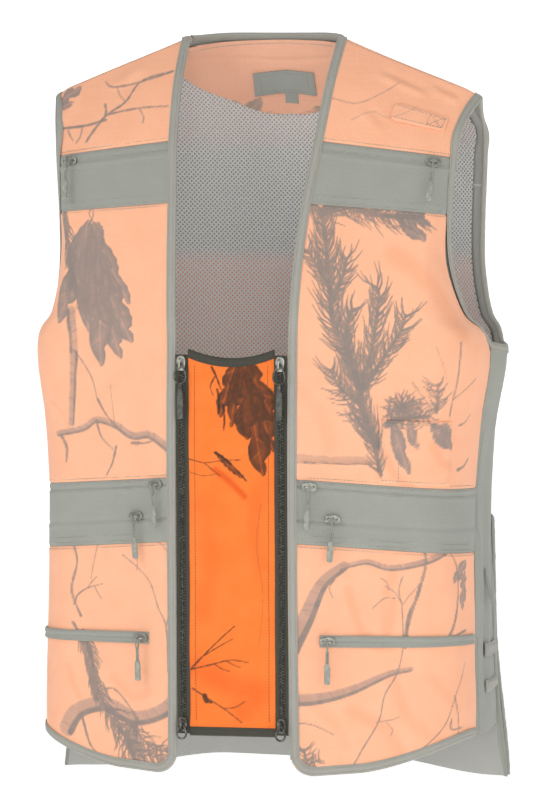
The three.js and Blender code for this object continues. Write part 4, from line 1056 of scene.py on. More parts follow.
sideSigns = {"left": 1, "right": -1}
shellThread, insertThread = Thread(3.4, 2.5, 0.62), Thread(3.0, 2.2, 0.55)
seamLook = dict(step=1.7, seamDepth=0.8, pucker=0.4, drape=0.7, crumple=0.12, seams=("drop", "rise"))
frontLooks = {
    "yoke": dict(seamLook, materials=[shellCloth, insideCloth], step=1.15, folds=[
        ((107, 38), (165, 62), 1.6, 4.0), ((165, 52), (199, 68), 1.2, 4.0), ((89, 74), (113, 98), 0.9, 5.0),
        ((-121, 30), (-161, 56), 1.3, 5.0), ((-193, 56), (-205, 92), 1.1, 5.0)]),
    "chest_band": dict(seamLook, materials=[bandCloth, insideCloth], step=2.2, drape=0.2, crumple=0.05,
                       grooves=[(9.9, 0.8, 1.2), (13.2, -0.8, 1.6)]),
    "chest_panel": dict(seamLook, materials=[shellCloth, insideCloth], step=1.05, folds=[
        ((29, 364), (69, 336), 0.9, 9), ((159, 214), (199, 294), 1.3, 10), ((47, 434), (81, 384), 0.8, 7),
        ((22, 422), (110, 424), 1.1, 2.2),
        ((-211, 294), (-171, 264), 1.2, 9), ((-111, 204), (-113, 384), 1.0, 8),
        ((-201, 344), (-161, 324), 0.8, 8)]),
    "waist_band": dict(seamLook, materials=[bandCloth, insideCloth], step=2.2,
                       grooves=[(6.4, 1.3, 1.2), (9.6, -0.5, 1.6), (39.7, 1.3, 1.2), (42.9, -0.5, 1.6)]),
    "lower_pocket": dict(seamLook, materials=[shellCloth, insideCloth], step=1.1, seams=("drop",), folds=[
        ((-159, 604), (-167, 704), 1.6, 14), ((-121, 564), (-113, 684), 1.1, 12),
        ((-201, 524), (-195, 644), 1.2, 10), ((69, 564), (59, 694), 1.2, 16),
        ((129, 614), (121, 709), 1.5, 16), ((179, 524), (191, 664), 1.3, 10)])}
frontSpans = {"yoke": (0, yokeRow), "chest_band": (yokeRow, bandRow), "chest_panel": (bandRow, waistRow),
              "waist_band": (waistRow, waistEndRow), "lower_pocket": (waistEndRow, hemRow)}


def pastArm(v):
    return min(1, max(0, (v - underarmRow) / 0.2))


def frontEnds(v):
    return uFor(fronts, v, 4), 1 - uFor(fronts, v, mix(4, 0.3, pastArm(v)))


def seamStitches(thread, grid, row, out, inset=2):
    # One row of stitches along a row of the grid
    thread.sew(grid["p"][row, inset:-inset], grid["n"][row, inset:-inset], out=out)


def makeFronts():
    for name, (top, foot) in frontSpans.items():
        look = frontLooks[name]
        start = top + (vFor(fronts, top, 0.15) if top else vFor(fronts, 0.3, 1.6))
        lift = 5 if foot == hemRow else 0.15
        rows = start, foot - vFor(fronts, foot - 0.5, lift)
        canvas = frontPaint if look["materials"][0] is shellCloth else None
        for number, (side, sign) in enumerate(sideSigns.items()):
            grid, thing = sewCloth(f"{name}_{side}_cloth", fronts, rows, frontEnds, look, 10 * top + number,
                                   sign < 0, canvas, body="shell", stands=[f"{name}_{side}"],
                                   slot="printed_cloth" if canvas else "olive_cloth")
            for distance in (2.4, 8.5) if "band" in name else (2.4,):
                for edge in ("drop", "rise"):
                    if edge == "rise" and name == "lower_pocket":
                        continue
                    seamStitches(shellThread, grid, rowNear(grid, edge, distance), 1.3)


makeFronts()
print("fronts are made")

# ---------- sides and back ----------

sideFolds = [((213, 464), (221, 706), 1.8, 5), ((227, 344), (231, 664), -1.6, 5),
             ((245, 404), (241, 694), 1.6, 6)]
sideLook = dict(seamLook, materials=[bandCloth, insideCloth], step=2.4, seams=("low", "high"), drape=1.4,
                folds=sideFolds)
yokeLook = dict(seamLook, materials=[shellCloth, insideCloth], step=2.4, seams=("rise",))
backLook = dict(seamLook, materials=[shellCloth, insideCloth], step=2.4, seams=("drop", "low", "high"),
                drape=1.6)
bagLook = dict(seamLook, materials=[bandCloth, bandCloth], step=2.8, seams=("drop", "low", "high"), drape=0.9,
               crumple=0.25, bulge=2.5, bulgeRun=26, seamDepth=2.0)
netPieceLook = dict(step=3.2, materials=[netCloth, insideCloth], drape=0.8, crumple=0.1,
                    seams=("drop", "low", "high"), seamDepth=0.3, pucker=0.3)
facingPieceLook = dict(step=2.2, materials=[facingCloth, insideCloth], drape=0.9, crumple=0.3,
                       seams=("rise",), seamDepth=0.5, pucker=0.4, grooves=[(22, 0.9, 2.2)])
backYokeRow, facingRow, bagRow = 2 + 32 / 62, 1 + 26 / 66, 8 + 32 / 64
liningOuter, liningThick = -4.4, 1.4
# the back's cloth is olive from here out to the sides
oliveFrom = 150


def backEnd(v):
    return 1 - uFor(backs, v, mix(4, 1.1, pastArm(v)))


def leftOff(columns):
    return lambda v: (-backEnd(v) * (1 - columns / 10), backEnd(v) * (1 - columns / 10))


def halfMoon(v):
    # The neck facing narrows downwards in a half round
    t = np.clip((v - 0.35) / (facingRow - 0.35), 0, 1)
    return leftOff(5)(v)[1] * math.sqrt(1 - 0.97 * t ** 2) * mix(0.45, 1, (1 - t) ** 2)


def moonEnds(v):
    return -halfMoon(v), halfMoon(v)


def makeSidesAndBack():
    sideTop = underarmRow + vFor(sides, underarmRow + 0.5, 4)
    for number, (side, sign) in enumerate(sideSigns.items()):
        ends = endsInside(sides, 1.1, 1.1)
        grid, thing = sewCloth(f"side_panel_{side}_cloth", sides, (sideTop, hemRow), ends, sideLook,
                               70 + number, sign < 0, body="shell", stands=[f"side_panel_{side}"],
                               slot="olive_cloth")
        for column in (2, -3):
            shellThread.sew(grid["p"][:, column], grid["n"][:, column], out=1.3)
    top = vFor(backs, 0.3, 4.75)
    pieces = [("back_yoke", (top, backYokeRow - 0.003), yokeLook, leftOff(0), (-clothHalf, clothHalf), 1),
              ("back_panel", (backYokeRow + 0.003, hemRow), backLook, leftOff(0), (-clothHalf, clothHalf), 1),
              ("game_bag", (bagRow, hemRow - 0.02), bagLook, leftOff(1), (1.9, 5.4), 1),
              ("neck_facing", (top + vFor(backs, 0.3, 9.5), facingRow - 0.003), facingPieceLook,
               moonEnds, (liningOuter - liningThick, liningOuter), -1),
              ("mesh_lining", (0.42, waistEndRow), netPieceLook, leftOff(2),
               (liningOuter + 0.1, liningOuter + 1.5), -1)]
    slots = {"game_bag": "olive_cloth", "mesh_lining": "mesh"}
    for number, (name, rows, look, ends, between, face) in enumerate(pieces):
        painted = backPaint if look["materials"][0] in (shellCloth, facingCloth) else None
        if name == "mesh_lining":
            painted = netZones()
        grid, thing = sewCloth(f"{name}_cloth", backs, rows, ends, look, 90 + number, canvas=painted,
                               between=between, face=face, body="shell", stands=[name],
                               slot=slots.get(name, "printed_cloth"))
        if name == "back_panel":
            thing.data.materials.append(bandCloth)
            for polygon in thing.data.polygons:
                if polygon.material_index == 0 and abs(polygon.center.x) > oliveFrom * mm:
                    polygon.material_index = 2
        level = between[1] + 0.1 if face > 0 else between[0] - 0.1
        for edge in ("rise",) if name == "mesh_lining" else ("drop", "rise"):
            row = rowNear(grid, edge, 3)
            shellThread.sew(grid["p"][row, 2:-2], grid["n"][row, 2:-2] * face, out=level * face)


def netZones():
    # Where orange cloth lies behind the net: at the top and below the chest
    zones = Canvas(-300, 300, -20, 790, 4, 3)
    rows = zones.top + (np.arange(zones.layers.shape[1]) + 0.5) * zones.cell
    amount = 0.4 * np.clip((118 - rows) / 20, 0, 1) + np.clip((rows - 214) / 16, 0, 1)
    zones.layers[1] = np.clip(amount, 0, 1)[:, None] * 0.85
    return zones


makeSidesAndBack()
print("sides, back and lining are made")

# ---------- bindings ----------

foldProfile = [(9.5, 1.7), (9.2, 2.1), (8.3, 2.2), (7.6, 1.85), (6.9, 2.25), (5.2, 2.4), (3.6, 2.3),
               (2.9, 2.2), (2.3, 1.85), (1.7, 2.1), (0.9, 1.8), (0.3, 1.2), (0.0, 0.4), (0.0, -0.4),
               (0.3, -1.2), (0.9, -1.8), (1.7, -2.1), (4.0, -2.2), (8.8, -2.2), (9.5, -1.8), (9.4, -1.5),
               (1.3, -1.45), (1.3, 1.45), (9.4, 1.5)]


def evenLine(points, normals, intos, step):
    # The same line with points a step apart
    lengths = np.concatenate([[0], np.cumsum(np.linalg.norm(np.diff(points, axis=0), axis=1))])
    keep = np.concatenate([[True], np.diff(lengths) > 1e-6])
    places = np.linspace(0, lengths[-1], max(3, round(lengths[-1] / step)))
    out = [np.stack([np.interp(places, lengths[keep], a[keep, i]) for i in range(3)], 1) for a in
           (points, normals, intos)]
    return out[0], unit(out[1]), unit(out[2]), places


def smoothed(vectors, closed, times=3):
    for _ in range(times):
        if closed:
            vectors = (np.roll(vectors, 1, 0) + vectors * 2 + np.roll(vectors, -1, 0)) / 4
        else:
            inside = (vectors[:-2] + vectors[1:-1] * 2 + vectors[2:]) / 4
            vectors = np.concatenate([vectors[:1], inside, vectors[-1:]])
    return unit(vectors)


def foldBinding(name, points, normals, intos, material, thread, body, slot, node, closed=False, seed=0,
                step=2.6, width=bindingWidth):
    line, up, into, run = evenLine(points, normals, intos, step)
    if closed:
        line, up, into, run = line[:-1], up[:-1], into[:-1], run[:-1]
    up, into = smoothed(up, closed), smoothed(into, closed)
    gather = 0.16 * ripples(run, 0 * run, seed, 6) + 0.12 * ripples(run, 0 * run, seed + 1, 26)
    rings, uv = [], []
    for a, n in foldProfile:
        outside = abs(n) > 1.6 and a > 0.5
        lift = n + (np.sign(n) * gather if outside else 0)
        rings.append(line + into * (a * width / bindingWidth)
                     + up * np.broadcast_to(lift, len(line))[:, None])
        uv.append(np.stack([run, np.full(len(run), a + (20 if n < 0 else 0))], 1))
    rings, uv = np.stack(rings, 1), np.stack(uv, 1)
    count, around = rings.shape[:2]
    index = np.arange(count * around).reshape(count, around)
    faces = []
    for i in range(count if closed else count - 1):
        here, after = index[i], index[(i + 1) % count]
        faces += np.stack([here, after, np.roll(after, -1), np.roll(here, -1)], 1).tolist()
    if not closed:
        faces += [index[0].tolist(), index[-1][::-1].tolist()]
    probe = np.cross(rings[1, 5] - rings[0, 5], rings[0, 6] - rings[0, 5]) @ up[0]
    if probe < 0:
        faces = [f[::-1] for f in faces]
    thing = makeObject(name, rings.reshape(-1, 3), faces, [material], body, [node], slot, uv.reshape(-1, 2),
                       crease=40)
    if thread:
        for a in (7.6, 2.3):
            thread.sew(line + into * (a * width / bindingWidth), up, out=2.1)
    return thing


def edgeOf(part, us, vs, sideways, mirror):
    # Points, normals and directions into the cloth along an edge given by u and v at each point
    points, normals, intos = [], [], []
    for u, v, (du, dv) in zip(us, vs, sideways):
        p = part["surface"](np.array([u, min(max(u + du, 0), 1)]), v)
        q = part["surface"](np.array([u]), min(max(v + dv, 0), hemRow))
        points.append(p[0])
        normals.append(normalsAt(part, np.array([min(max(u, 0.01), 0.99)]), max(v, 0.02))[0])
        intos.append(unit((p[1] if du else q[0]) - p[0]))
    points, normals, intos = np.array(points), np.array(normals), np.array(intos)
    if mirror:
        for a in (points, normals, intos):
            a[:, 0] *= -1
    return points, normals, intos


def makeBindings():
    for number, (side, sign) in enumerate(sideSigns.items()):
        mirror = sign < 0
        # the rounded corner starts one radius above the hem
        down = np.linspace(vFor(fronts, 0.3, 1.6), hemRow - cornerRadius / hemPace, 150)
        across = np.concatenate([[0.0006, 0.0025, 0.006, 0.011],
                                 np.linspace(0.018, 1 - uFor(fronts, hemRow, 0.3), 90)])
        edge = edgeOf(fronts, 0 * down, down, [(0.03, 0)] * len(down), mirror)
        hem = edgeOf(fronts, across, 0 * across + hemRow, [(0, -0.08)] * len(across), mirror)
        joined = [np.concatenate([a, b]) for a, b in zip(edge, hem)]
        # round the corner the binding turns at right angles to its own line
        ahead = np.gradient(joined[0], axis=0)
        turned = unit(np.cross(joined[1], unit(ahead)))
        turned *= np.sign((turned * joined[2]).sum())
        foldBinding(f"front_binding_{side}_tape", joined[0], joined[1], turned, bindingTape, shellThread,
                    "shell", "binding", f"front_binding_{side}", seed=30 + number)
        vs = np.linspace(0.03, underarmRow - 0.3, 90)
        under = np.linspace(0.05, 0.95, 30)
        front = edgeOf(fronts, 0 * vs + 1, vs, [(-0.02, 0)] * len(vs), mirror)
        low = edgeOf(sides, under, 0 * under + underarmRow, [(0, 0.05)] * len(under), mirror)
        back = [a[::-1] for a in edgeOf(backs, 0 * vs + 1, vs, [(-0.02, 0)] * len(vs), mirror)]
        loop = [np.concatenate([a, b, c, a[:1]]) for a, b, c in zip(front, low, back)]
        foldBinding(f"armhole_binding_{side}_tape", *loop, bindingTape, shellThread, "shell", "binding",
                    f"armhole_binding_{side}", closed=True, seed=40 + number)
    us = np.linspace(-neckShare + 0.015, neckShare - 0.015, 60)
    neck = edgeOf(backs, abs(us), 0 * us, [(0, 0.1)] * len(us), False)
    for a in neck:
        a[us < 0, 0] *= -1
    foldBinding("neck_binding_tape", *neck, bindingTape, shellThread, "shell", "binding", "neck_binding",
                seed=50)


makeBindings()
print("bindings are made")

# ---------- insert, its bindings and the front zips ----------

insertSize = dict(half=44.6, top=-310, long=385, dip=9, bindingHigh=9)
zipLook = dict(top=-316, long=377, middle=51.3, toothPitch=2.9, toothWide=3.4, toothHigh=1.5, toothDeep=2.2)
insertPieceLook = dict(step=1.05, materials=[insertCloth, insideCloth], drape=0.9, crumple=0.16,
                       seams=("drop", "rise", "low", "high"), seamDepth=0.6, pucker=0.3)


def zipDepth(z):
    return mix(-134.5, -129, (zipLook["top"] - z) / zipLook["long"])


def insertTop(x):
    return insertSize["top"] - insertSize["dip"] * (1 - (x / insertSize["half"]) ** 2)


def flatGrid(xs, topAt, footAt, rows):
    # Grid on the insert's slope, with the same facts as clothGrid gives
    t = np.linspace(0, 1, rows)[:, None]
    x = np.broadcast_to(xs, (rows, len(xs)))
    z = mix(topAt(x), footAt(x), t)
    p = np.stack([x, zipDepth(z), z], -1)
    n = np.broadcast_to(unit(np.array([0.0, -1.0, -0.0146])), p.shape)
    drops = np.cumsum(np.linalg.norm(np.diff(p, axis=0, prepend=p[:1]), axis=2), axis=0)
    return dict(p=p, n=n, s=x, drop=drops, rise=drops[-1:] - drops, low=x - xs[0], high=xs[-1] - x,
                mirror=False)


def makeInsert():
    foot = insertSize["top"] - insertSize["long"]
    edge = insertSize["half"] - 0.2
    xs = np.linspace(-edge, edge, 4 * round(2 * edge / insertPieceLook["step"] / 4) + 1)
    rows = 4 * round(insertSize["long"] / insertPieceLook["step"] / 4) + 1
    grid = flatGrid(xs, lambda x: insertTop(x) - 6, lambda x: 0 * x + foot + 6, rows)
    grid["drop"], grid["rise"] = grid["drop"] - 3, grid["rise"] - 3
    ends = np.minimum(grid["drop"], grid["rise"])
    shape = relief(grid, insertPieceLook, 60) * ease((ends - 1) / 12)
    # stitched down beside each zip, and full between
    side = np.minimum(grid["low"], grid["high"])
    full = 1.4 * (1 - np.exp(-side / 14)) * ease((ends - 4) / 22)
    shape = shape + full - 0.5 * np.exp(-((side - 6) / 1.2) ** 2)
    fine = grid["p"] + grid["n"] * (1.0 + shape[..., None])
    back = grid["p"] - grid["n"] * 1.2
    shown = acrossPrint(grid["p"]), -grid["p"][..., 2]
    uv = np.stack([grid["s"], -grid["p"][..., 2]], -1)
    thing = closeSheet("insert_panel_cloth", fine, back, uv, insertPieceLook["materials"],
                       insertPaint.read(*shown), body="insert", stands=["insert_panel"], slot="insert_cloth")
    for column in (6, -7):
        insertThread.sew(fine[8:-8, column], grid["n"][8:-8, column], out=0.2)
    for name, height, lean in (("top", insertTop, -1), ("bottom", lambda x: 0 * x + foot, 1)):
        line = np.linspace(-edge, edge, 40)
        points = np.stack([line, zipDepth(height(line)), height(line)], 1)
        ups, intos = points * 0 + (0, -1, 0), points * 0 + (0, 0, lean)
        foldBinding(f"insert_{name}_binding_tape", points, ups, intos, darkTape, insertThread, "insert",
                    "dark_trim", f"insert_{name}_binding", seed=64, width=insertSize["bindingHigh"])


def makeBlocks(name, centres, half, material, body, slot, bevel=0.35):
    # Small moulded blocks with bevelled edges, one mesh
    corners, faces = [], []
    steps = [(-1, 1 - bevel), (-1 + bevel, 1), (1 - bevel, 1), (1, 1 - bevel)]
    for number, (x, y, z) in enumerate(centres):
        base = len(corners)
        for level, shrink in steps:
            for a, b in ((-1, -1), (1, -1), (1, 1), (-1, 1)):
                corners.append((x + a * half[0] * shrink, y + level * half[1], z + b * half[2] * shrink))
        for r in range(3):
            for k in range(4):
                faces.append([base + r * 4 + k, base + r * 4 + (k + 1) % 4, base + r * 4 + 4 + (k + 1) % 4,
                              base + r * 4 + 4 + k])
        faces += [[base + 3, base + 2, base + 1, base], [base + 12 + k for k in range(4)]]
    return makeObject(name, corners, faces, [material], body, slot=slot, crease=35)


def makeFrontZips():
    for side, sign in sideSigns.items():
        for kind, low, high, body in (("vest_side", 51.45, 57.6, "shell"),
                                      ("insert_side", 44.3, 51.15, "insert")):
            zs = np.linspace(zipLook["top"], zipLook["top"] - zipLook["long"], 4 * 40 + 1)
            xs = np.linspace(low, high, 5) * sign
            x, z = np.meshgrid(xs, zs)
            bend = 0.12 * ripples(z, 0 * z, 80 + sign, 9)
            fine = np.stack([x, zipDepth(z) - 0.75 + bend, z], -1)
            behind = np.stack([x, zipDepth(z) + 0.75, z], -1)
            uv = np.stack([z, x], -1)
            closeSheet(f"front_zip_{kind}_{side}_tape", fine, behind, uv, [darkTape, darkTape], body=body,
                       stands=[f"front_zip_{kind}_{side}"], slot="zip_tape")
            shift = 0.5 if kind == "vest_side" else 0.0
            count = int(zipLook["long"] / zipLook["toothPitch"]) - 1
            outward = 1 if kind == "vest_side" else -1
            centres = [(sign * (zipLook["middle"] + outward * 1.15), zipDepth(z) - 1.25, z) for z in
                       zipLook["top"] - (np.arange(count) + 0.5 + shift) * zipLook["toothPitch"]]
            half = zipLook["toothWide"] / 2, zipLook["toothDeep"] / 2, zipLook["toothHigh"] / 2
            makeBlocks(f"front_zip_{kind}_{side}_teeth", centres, half, toothPlastic, body, "zip_tape")


makeInsert()
makeFrontZips()
print("insert and front zips are made")

# ---------- welts, tab, pen pocket and label ----------

weltLook = dict(step=1.4, materials=[bandCloth, bandCloth], seams=("drop", "rise"), seamDepth=0.6,
                pucker=0.25, crumple=0.1, grooves=[(6.0, 1.1, 1.0)])
tabLook = dict(step=1.6, materials=[shellCloth, shellCloth], seams=("drop", "rise", "low", "high"),
               seamDepth=0.7, pucker=0.25, crumple=0.1)
penLook = dict(step=1.7, materials=[shellCloth, shellCloth], seams=("drop", "rise", "low", "high"),
               seamDepth=0.8, pucker=0.3, crumple=0.12, drape=0.4)


def makeSmallPieces():
    pocketRow = waistEndRow + 0.89
    rise = vFor(fronts, pocketRow, 6)
    for number, (side, sign) in enumerate(sideSigns.items()):
        ends = endsInside(fronts, 39, 4)
        grid, thing = sewCloth(f"pocket_zip_{side}_welt", fronts, (pocketRow - rise, pocketRow + rise), ends,
                               weltLook, 110 + number, sign < 0, between=(1.7, 3.9), body="shell",
                               stands=[f"pocket_zip_{side}"], slot="zip_tape")
        for distance in (1.6, 10.4):
            seamStitches(shellThread, grid, rowNear(grid, "drop", distance, 20), 3.9)
    tabRow = 1.25
    tabRise = vFor(fronts, tabRow, 10.5)

    def tabEnds(v):
        # the inner end is rounded
        away = min(1, abs(v - tabRow) / tabRise)
        return 1 - uFor(fronts, v, 73.5 - 5 * (1 - math.sqrt(1 - away ** 4))), 1 - uFor(fronts, v, 17.5)
    grid, thing = sewCloth("shoulder_tab_cloth", fronts, (tabRow - tabRise, tabRow + tabRise), tabEnds,
                           tabLook, 120, canvas=frontPaint, between=(1.5, 3.3), body="shell",
                           stands=["shoulder_tab"], slot="printed_cloth")
    boxStitch(grid)
    foot = waistRow - vFor(fronts, waistRow - 0.5, 2)
    high = foot - vFor(fronts, waistRow - 0.5, 62)

    def penEnds(v):
        return uFor(fronts, v, 120), uFor(fronts, v, 190)
    grid, thing = sewCloth("pen_pocket_cloth", fronts, (high, foot), penEnds, penLook, 130, canvas=frontPaint,
                           between=(1.5, 3.5), body="shell", stands=["pen_pocket"], slot="printed_cloth")
    for edge in ("drop", "rise"):
        seamStitches(shellThread, grid, rowNear(grid, edge, 3, 8), 3.6)
    for column in (2, 15, -3):
        shellThread.sew(grid["p"][2:-2, column], grid["n"][2:-2, column], out=3.6)


def boxStitch(grid):
    # Square with a cross in it, at the tab's outer end
    p, n = grid["p"], grid["n"]
    rows, columns = p.shape[:2]
    top, foot, left, right = 2, rows - 3, columns - 13, columns - 3
    corners = [(top, left), (top, right), (foot, right), (foot, left), (top, left), (foot, right),
               (foot, left), (top, right)]
    for (a, b), (c, d) in zip(corners, corners[1:]):
        steps = np.linspace(0, 1, 12)
        rowsAt, columnsAt = np.rint(mix(a, c, steps)).astype(int), np.rint(mix(b, d, steps)).astype(int)
        shellThread.sew(p[rowsAt, columnsAt], n[rowsAt, columnsAt], out=3.5)
    for row in (top, foot):
        shellThread.sew(p[row, 2:left], n[row, 2:left], out=3.5)


def rowAtHeight(z):
    low, high = 0.02, facingRow
    for _ in range(24):
        middle = (low + high) / 2
        if backCloth(np.array([0.0]), middle)[0, 2] > z:
            low = middle
        else:
            high = middle
    return low


def shareAt(part, v, length):
    # The u of a point this far along the row from its middle
    table = np.linspace(0, 1, 41)
    steps = np.linalg.norm(np.diff(part["surface"](table, v), axis=0), axis=1)
    return float(np.sign(length) * np.interp(abs(length), np.concatenate([[0], np.cumsum(steps)]), table))


def makeLabel():
    look = dict(step=1.2, materials=[labelCloth, labelCloth], crumple=0.05)
    for name, half, top, tall, shift, out in (("neck_label", 33, -34, 22, -3, 0.8),
                                              ("size_tag", 7, -54, 12, 3, 0.4)):
        rows = rowAtHeight(top), rowAtHeight(top - tall)
        ends = lambda v: (shareAt(backs, v, shift - half), shareAt(backs, v, shift + half))
        face = liningOuter - liningThick - out
        grid, thing = sewCloth(f"{name}_woven", backs, rows, ends, look, 140, between=(face - 0.9, face),
                               face=-1, body="shell", stands=["neck_label"] if name == "neck_label" else [],
                               slot="label")
        p, n = grid["p"], -grid["n"]
        if name == "neck_label":
            for inset in (1, 4):
                loop = np.concatenate([p[inset, inset:-inset], p[inset:-inset, -inset - 1],
                                       p[-inset - 1, inset:-inset][::-1], p[inset:-inset, inset][::-1]])
                ups = np.concatenate([n[inset, inset:-inset], n[inset:-inset, -inset - 1],
                                      n[-inset - 1, inset:-inset][::-1], n[inset:-inset, inset][::-1]])
                shellThread.sew(loop, ups, out=-face + 1.0)


def makeSideDetails():
    # Two webbing tabs and a cord loop on the wearer's left side
    look = dict(step=1.6, materials=[bindingTape, bindingTape], crumple=0.1, seams=("drop", "rise"),
                seamDepth=0.5, pucker=0.15, bulge=1.6, bulgeRun=5)
    for number, (row, wide) in enumerate(((10.02, 17), (10.42, 15))):
        rise = vFor(sides, row, wide / 2)
        grid, thing = sewCloth(f"side_strap_{number + 1}_webbing", sides, (row - rise, row + rise),
                               lambda v: (0.34, 0.93), look, 150 + number, between=(1.6, 3.4), body="shell",
                               slot="binding")
        for distance in (2, wide - 2):
            seamStitches(shellThread, grid, rowNear(grid, "drop", distance, 6), 4.2)
    turns = np.linspace(0, 2 * math.pi, 40, endpoint=False)
    root = sideCloth(np.array([0.42]), 9.2)[0] + (2.4, 0, 0)
    down = (1 - np.cos(turns)) / 2
    path = root + np.stack([9 * down ** 1.3, 3.6 * np.sin(turns) * (0.3 + 0.7 * down) - 4 * down,
                            -36 * down], 1)
    points, faces = tubeAlong(path, 1.1)
    turnOut(makeObject("side_zip_loop_cord", points, faces, [bandCloth], "shell", slot="binding"))


makeSmallPieces()
makeLabel()
print("small pieces are made")

# ---------- sliders and pulls ----------

record = frame["record"]
joints = {j["name"]: j for j in record["behaviour"]["joints"]}
pullLooks = {"front_top": dict(ring=15.5, long=21, tube=0.95, stem=4, grip=31, wide=6.4, thick=3.4,
                               dark=True),
             "front_bottom": dict(ring=12.5, long=15.5, tube=1.05, stem=0, grip=0, wide=0, thick=0,
                                  dark=True),
             "chest": dict(ring=6.6, long=12, tube=0.8, stem=10, grip=21, wide=5.8, thick=3.4, dark=False)}
pullLooks["waist_upper"] = pullLooks["waist_lower"] = pullLooks["pocket"] = pullLooks["chest"]


def cadPoints(node):
    mesh = frame["nodes"][node].data
    points = np.empty(len(mesh.vertices) * 3)
    mesh.vertices.foreach_get("co", points)
    return points.reshape(-1, 3)


def tubeAlong(path, radius, around=10, closed=True):
    # Round tube on a closed path of points, as rings of points and faces
    path = np.asarray(path, float)
    ahead = unit(np.roll(path, -1, 0) - np.roll(path, 1, 0)) if closed else unit(np.gradient(path, axis=0))
    plane = unit(np.cross(path[1] - path[0], path[len(path) // 3] - path[0]))
    over = unit(np.cross(ahead, plane))
    turns = np.linspace(0, 2 * math.pi, around, endpoint=False)
    radius = np.broadcast_to(radius, len(path))[:, None, None]
    rings = path[:, None] + radius * (over[:, None] * np.cos(turns)[:, None] + plane * np.sin(turns)[:, None])
    index = np.arange(len(path) * around).reshape(len(path), around)
    after = np.roll(index, -1, 0)
    if not closed:
        index, after = index[:-1], after[:-1]
    faces = np.stack([index, np.roll(index, -1, 1), np.roll(after, -1, 1), after], -1).reshape(-1, 4).tolist()
    if not closed:
        faces += [list(range(around))[::-1], list(range((len(path) - 1) * around, len(path) * around))]
    return rings.reshape(-1, 3), faces


def gripBody(look, start):
    # Moulded grip: flattened rounded sections with raised ribs across its lower half
    stations = np.linspace(0, 1, 34)
    turns = np.linspace(0, 2 * math.pi, 16, endpoint=False)
    rings = []
    for t in stations:
        swell = min(1, t / 0.16) ** 0.6
        tip = math.sqrt(max(0.03, 1 - max(0, (t - 0.93) / 0.07) ** 2))
        rib = 0.09 * max(0, math.sin(t * 2 * math.pi * 9)) if 0.3 < t < 0.86 else 0
        wide = look["wide"] / 2 * mix(0.42, 1, swell) * tip * (1 + rib * 0.5)
        thick = look["thick"] / 2 * mix(0.6, 1, swell) * tip * (1 + rib)
        power = 0.62
        c, s = np.cos(turns), np.sin(turns)
        rings.append(np.stack([wide * np.sign(c) * abs(c) ** power, np.full(16, start + t * look["grip"]),
                               thick * np.sign(s) * abs(s) ** power], 1))
    points = np.concatenate(rings)
    index = np.arange(len(points)).reshape(-1, 16)
    faces = np.stack([index[:-1], index[1:], np.roll(index[1:], -1, 1), np.roll(index[:-1], -1, 1)], -1)
    return points, faces.reshape(-1, 4).tolist() + [index[0].tolist(), index[-1][::-1].tolist()]


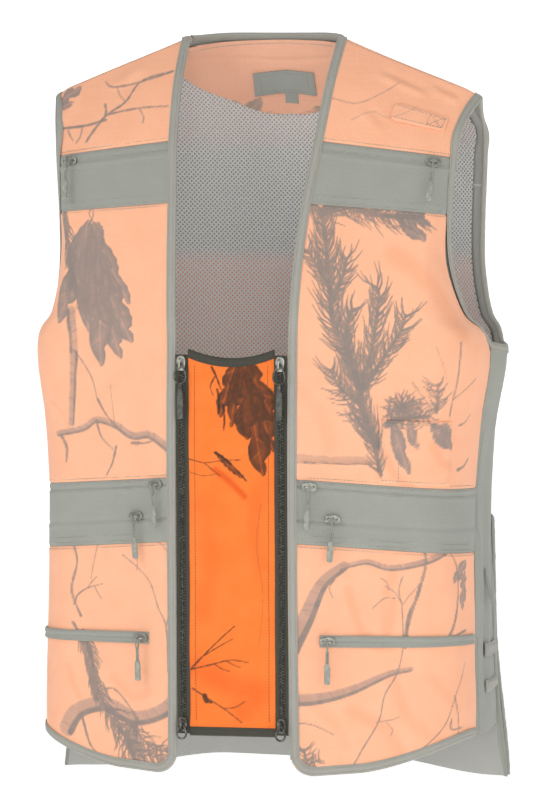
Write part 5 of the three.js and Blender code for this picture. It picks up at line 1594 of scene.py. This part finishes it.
def makePull(name, kind):
    # Local axes: x across, y down the pull, z off the cloth; the origin is the pivot
    look = pullLooks[kind]
    joint = joints[f"{name}_pull_swing"]
    pivot, axis = np.array(joint["pos_m"]) / mm, unit(np.array(joint["axis"], float))
    hang = cadPoints(f"{name}_pull").mean(0) / mm - pivot
    hang = unit(hang - axis * (hang @ axis))
    off = np.cross(axis, hang)
    off = off if off[1] < 0 else -off
    upright = kind.startswith("front")
    r, turns = look["ring"] / 2, np.linspace(0, 2 * math.pi, 44, endpoint=False)
    if upright:
        # teardrop lying flat on the zip, narrow where it passes under the bridge
        drop = (1 - np.cos(turns)) / 2
        x = r * np.sin(turns) * (0.30 + 0.70 * drop ** 0.8)
        ring = np.stack([x, drop * (look["long"] - look["tube"]) - 0.2, 0 * x], 1)
    else:
        # loop standing round the bridge's bar
        bend = np.clip(np.sin(turns), -1, 1)
        ring = np.stack([0 * turns, 4.4 - 7.0 * np.cos(turns), (r - look["tube"]) * bend], 1)
    points, faces = tubeAlong(ring, look["tube"])
    kinds = [0] * len(faces)
    foot = look["long"] if upright else 11.4

    def join(more, moreFaces, kind):
        nonlocal points
        faces.extend([i + len(points) for i in f] for f in moreFaces)
        kinds.extend([kind] * len(moreFaces))
        points = np.concatenate([points, more])
    if look["stem"]:
        for shift in (-0.8, 0.8):
            ys = np.linspace(foot - 1.6, foot + look["stem"] + 2, 12)
            line = np.stack([shift + 0.12 * np.sin(ys * 2.1), ys, 0.1 * np.cos(ys * 1.7)], 1)
            join(*tubeAlong(line, 0.85, 8, closed=False), 0)
    if look["grip"]:
        join(*gripBody(look, foot + look["stem"]), 1)
    across = np.cross(hang, off)
    world = pivot + points[:, :1] * across + points[:, 1:2] * hang + points[:, 2:] * off
    ringLook = darkSteel if upright else (cordYarn if look["dark"] else fadedCord)
    thing = makeObject(f"{name}_pull_cord", world, faces,
                       [ringLook, gripPlastic if look["dark"] else fadedGrip], f"{name}_pull",
                       [f"{name}_pull"], "pull_plastic", points[:, :2], faceSlots=kinds, crease=45)
    turnOut(thing)


def turnOut(thing):
    # All faces outward
    work = bmesh.new()
    work.from_mesh(thing.data)
    bmesh.ops.recalc_face_normals(work, faces=work.faces)
    work.to_mesh(thing.data)
    work.free()


def makeSlider(name, kind):
    # The CAD slider with its corners rounded, as a casting has
    node = bpy.data.objects[f"{name}_slider"]
    work = bmesh.new()
    work.from_mesh(node.data)
    bmesh.ops.remove_doubles(work, verts=work.verts, dist=0.00002)
    bmesh.ops.dissolve_limit(work, angle_limit=math.radians(4), verts=work.verts, edges=work.edges)
    sharp = [e for e in work.edges if len(e.link_faces) == 2 and e.calc_face_angle(0) > math.radians(28)]
    bmesh.ops.bevel(work, geom=sharp, offset=0.00045, segments=2, profile=0.6, affect="EDGES",
                    clamp_overlap=True)
    mesh = bpy.data.meshes.new(f"{name}_slider_cast")
    work.to_mesh(mesh)
    work.free()
    mesh.materials.clear()
    mesh.materials.append(steel if kind == "front_top" else darkSteel if kind == "front_bottom"
                          else fadedSteel)
    mesh.polygons.foreach_set("use_smooth", np.ones(len(mesh.polygons), bool))
    mesh.set_sharp_from_angle(angle=math.radians(40))
    thing = addToScene(bpy.data.objects.new(f"{name}_slider_cast", mesh))
    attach(thing, f"{name}_slider")
    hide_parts(f"{name}_slider")


fadedCord = solidMaterial("cord_nylon_faded", dict(cordLook, ground="#85867d", worn="#97988f"))
fadedSteel = solidMaterial("zinc_cast_painted",
                           dict(darkSteelLook, ground="#83847b", worn="#a9aaa2", metallic=0.55))
for side in sideSigns:
    for kind in pullLooks:
        makeSlider(f"{kind}_{side}", kind)
        makePull(f"{kind}_{side}", kind)
makeSideDetails()
shellThread.make("topstitching_shell", threadYarn, "shell", "binding")
insertThread.make("topstitching_insert", darkThread, "insert", "dark_trim")
print("sliders, pulls and stitching are made")
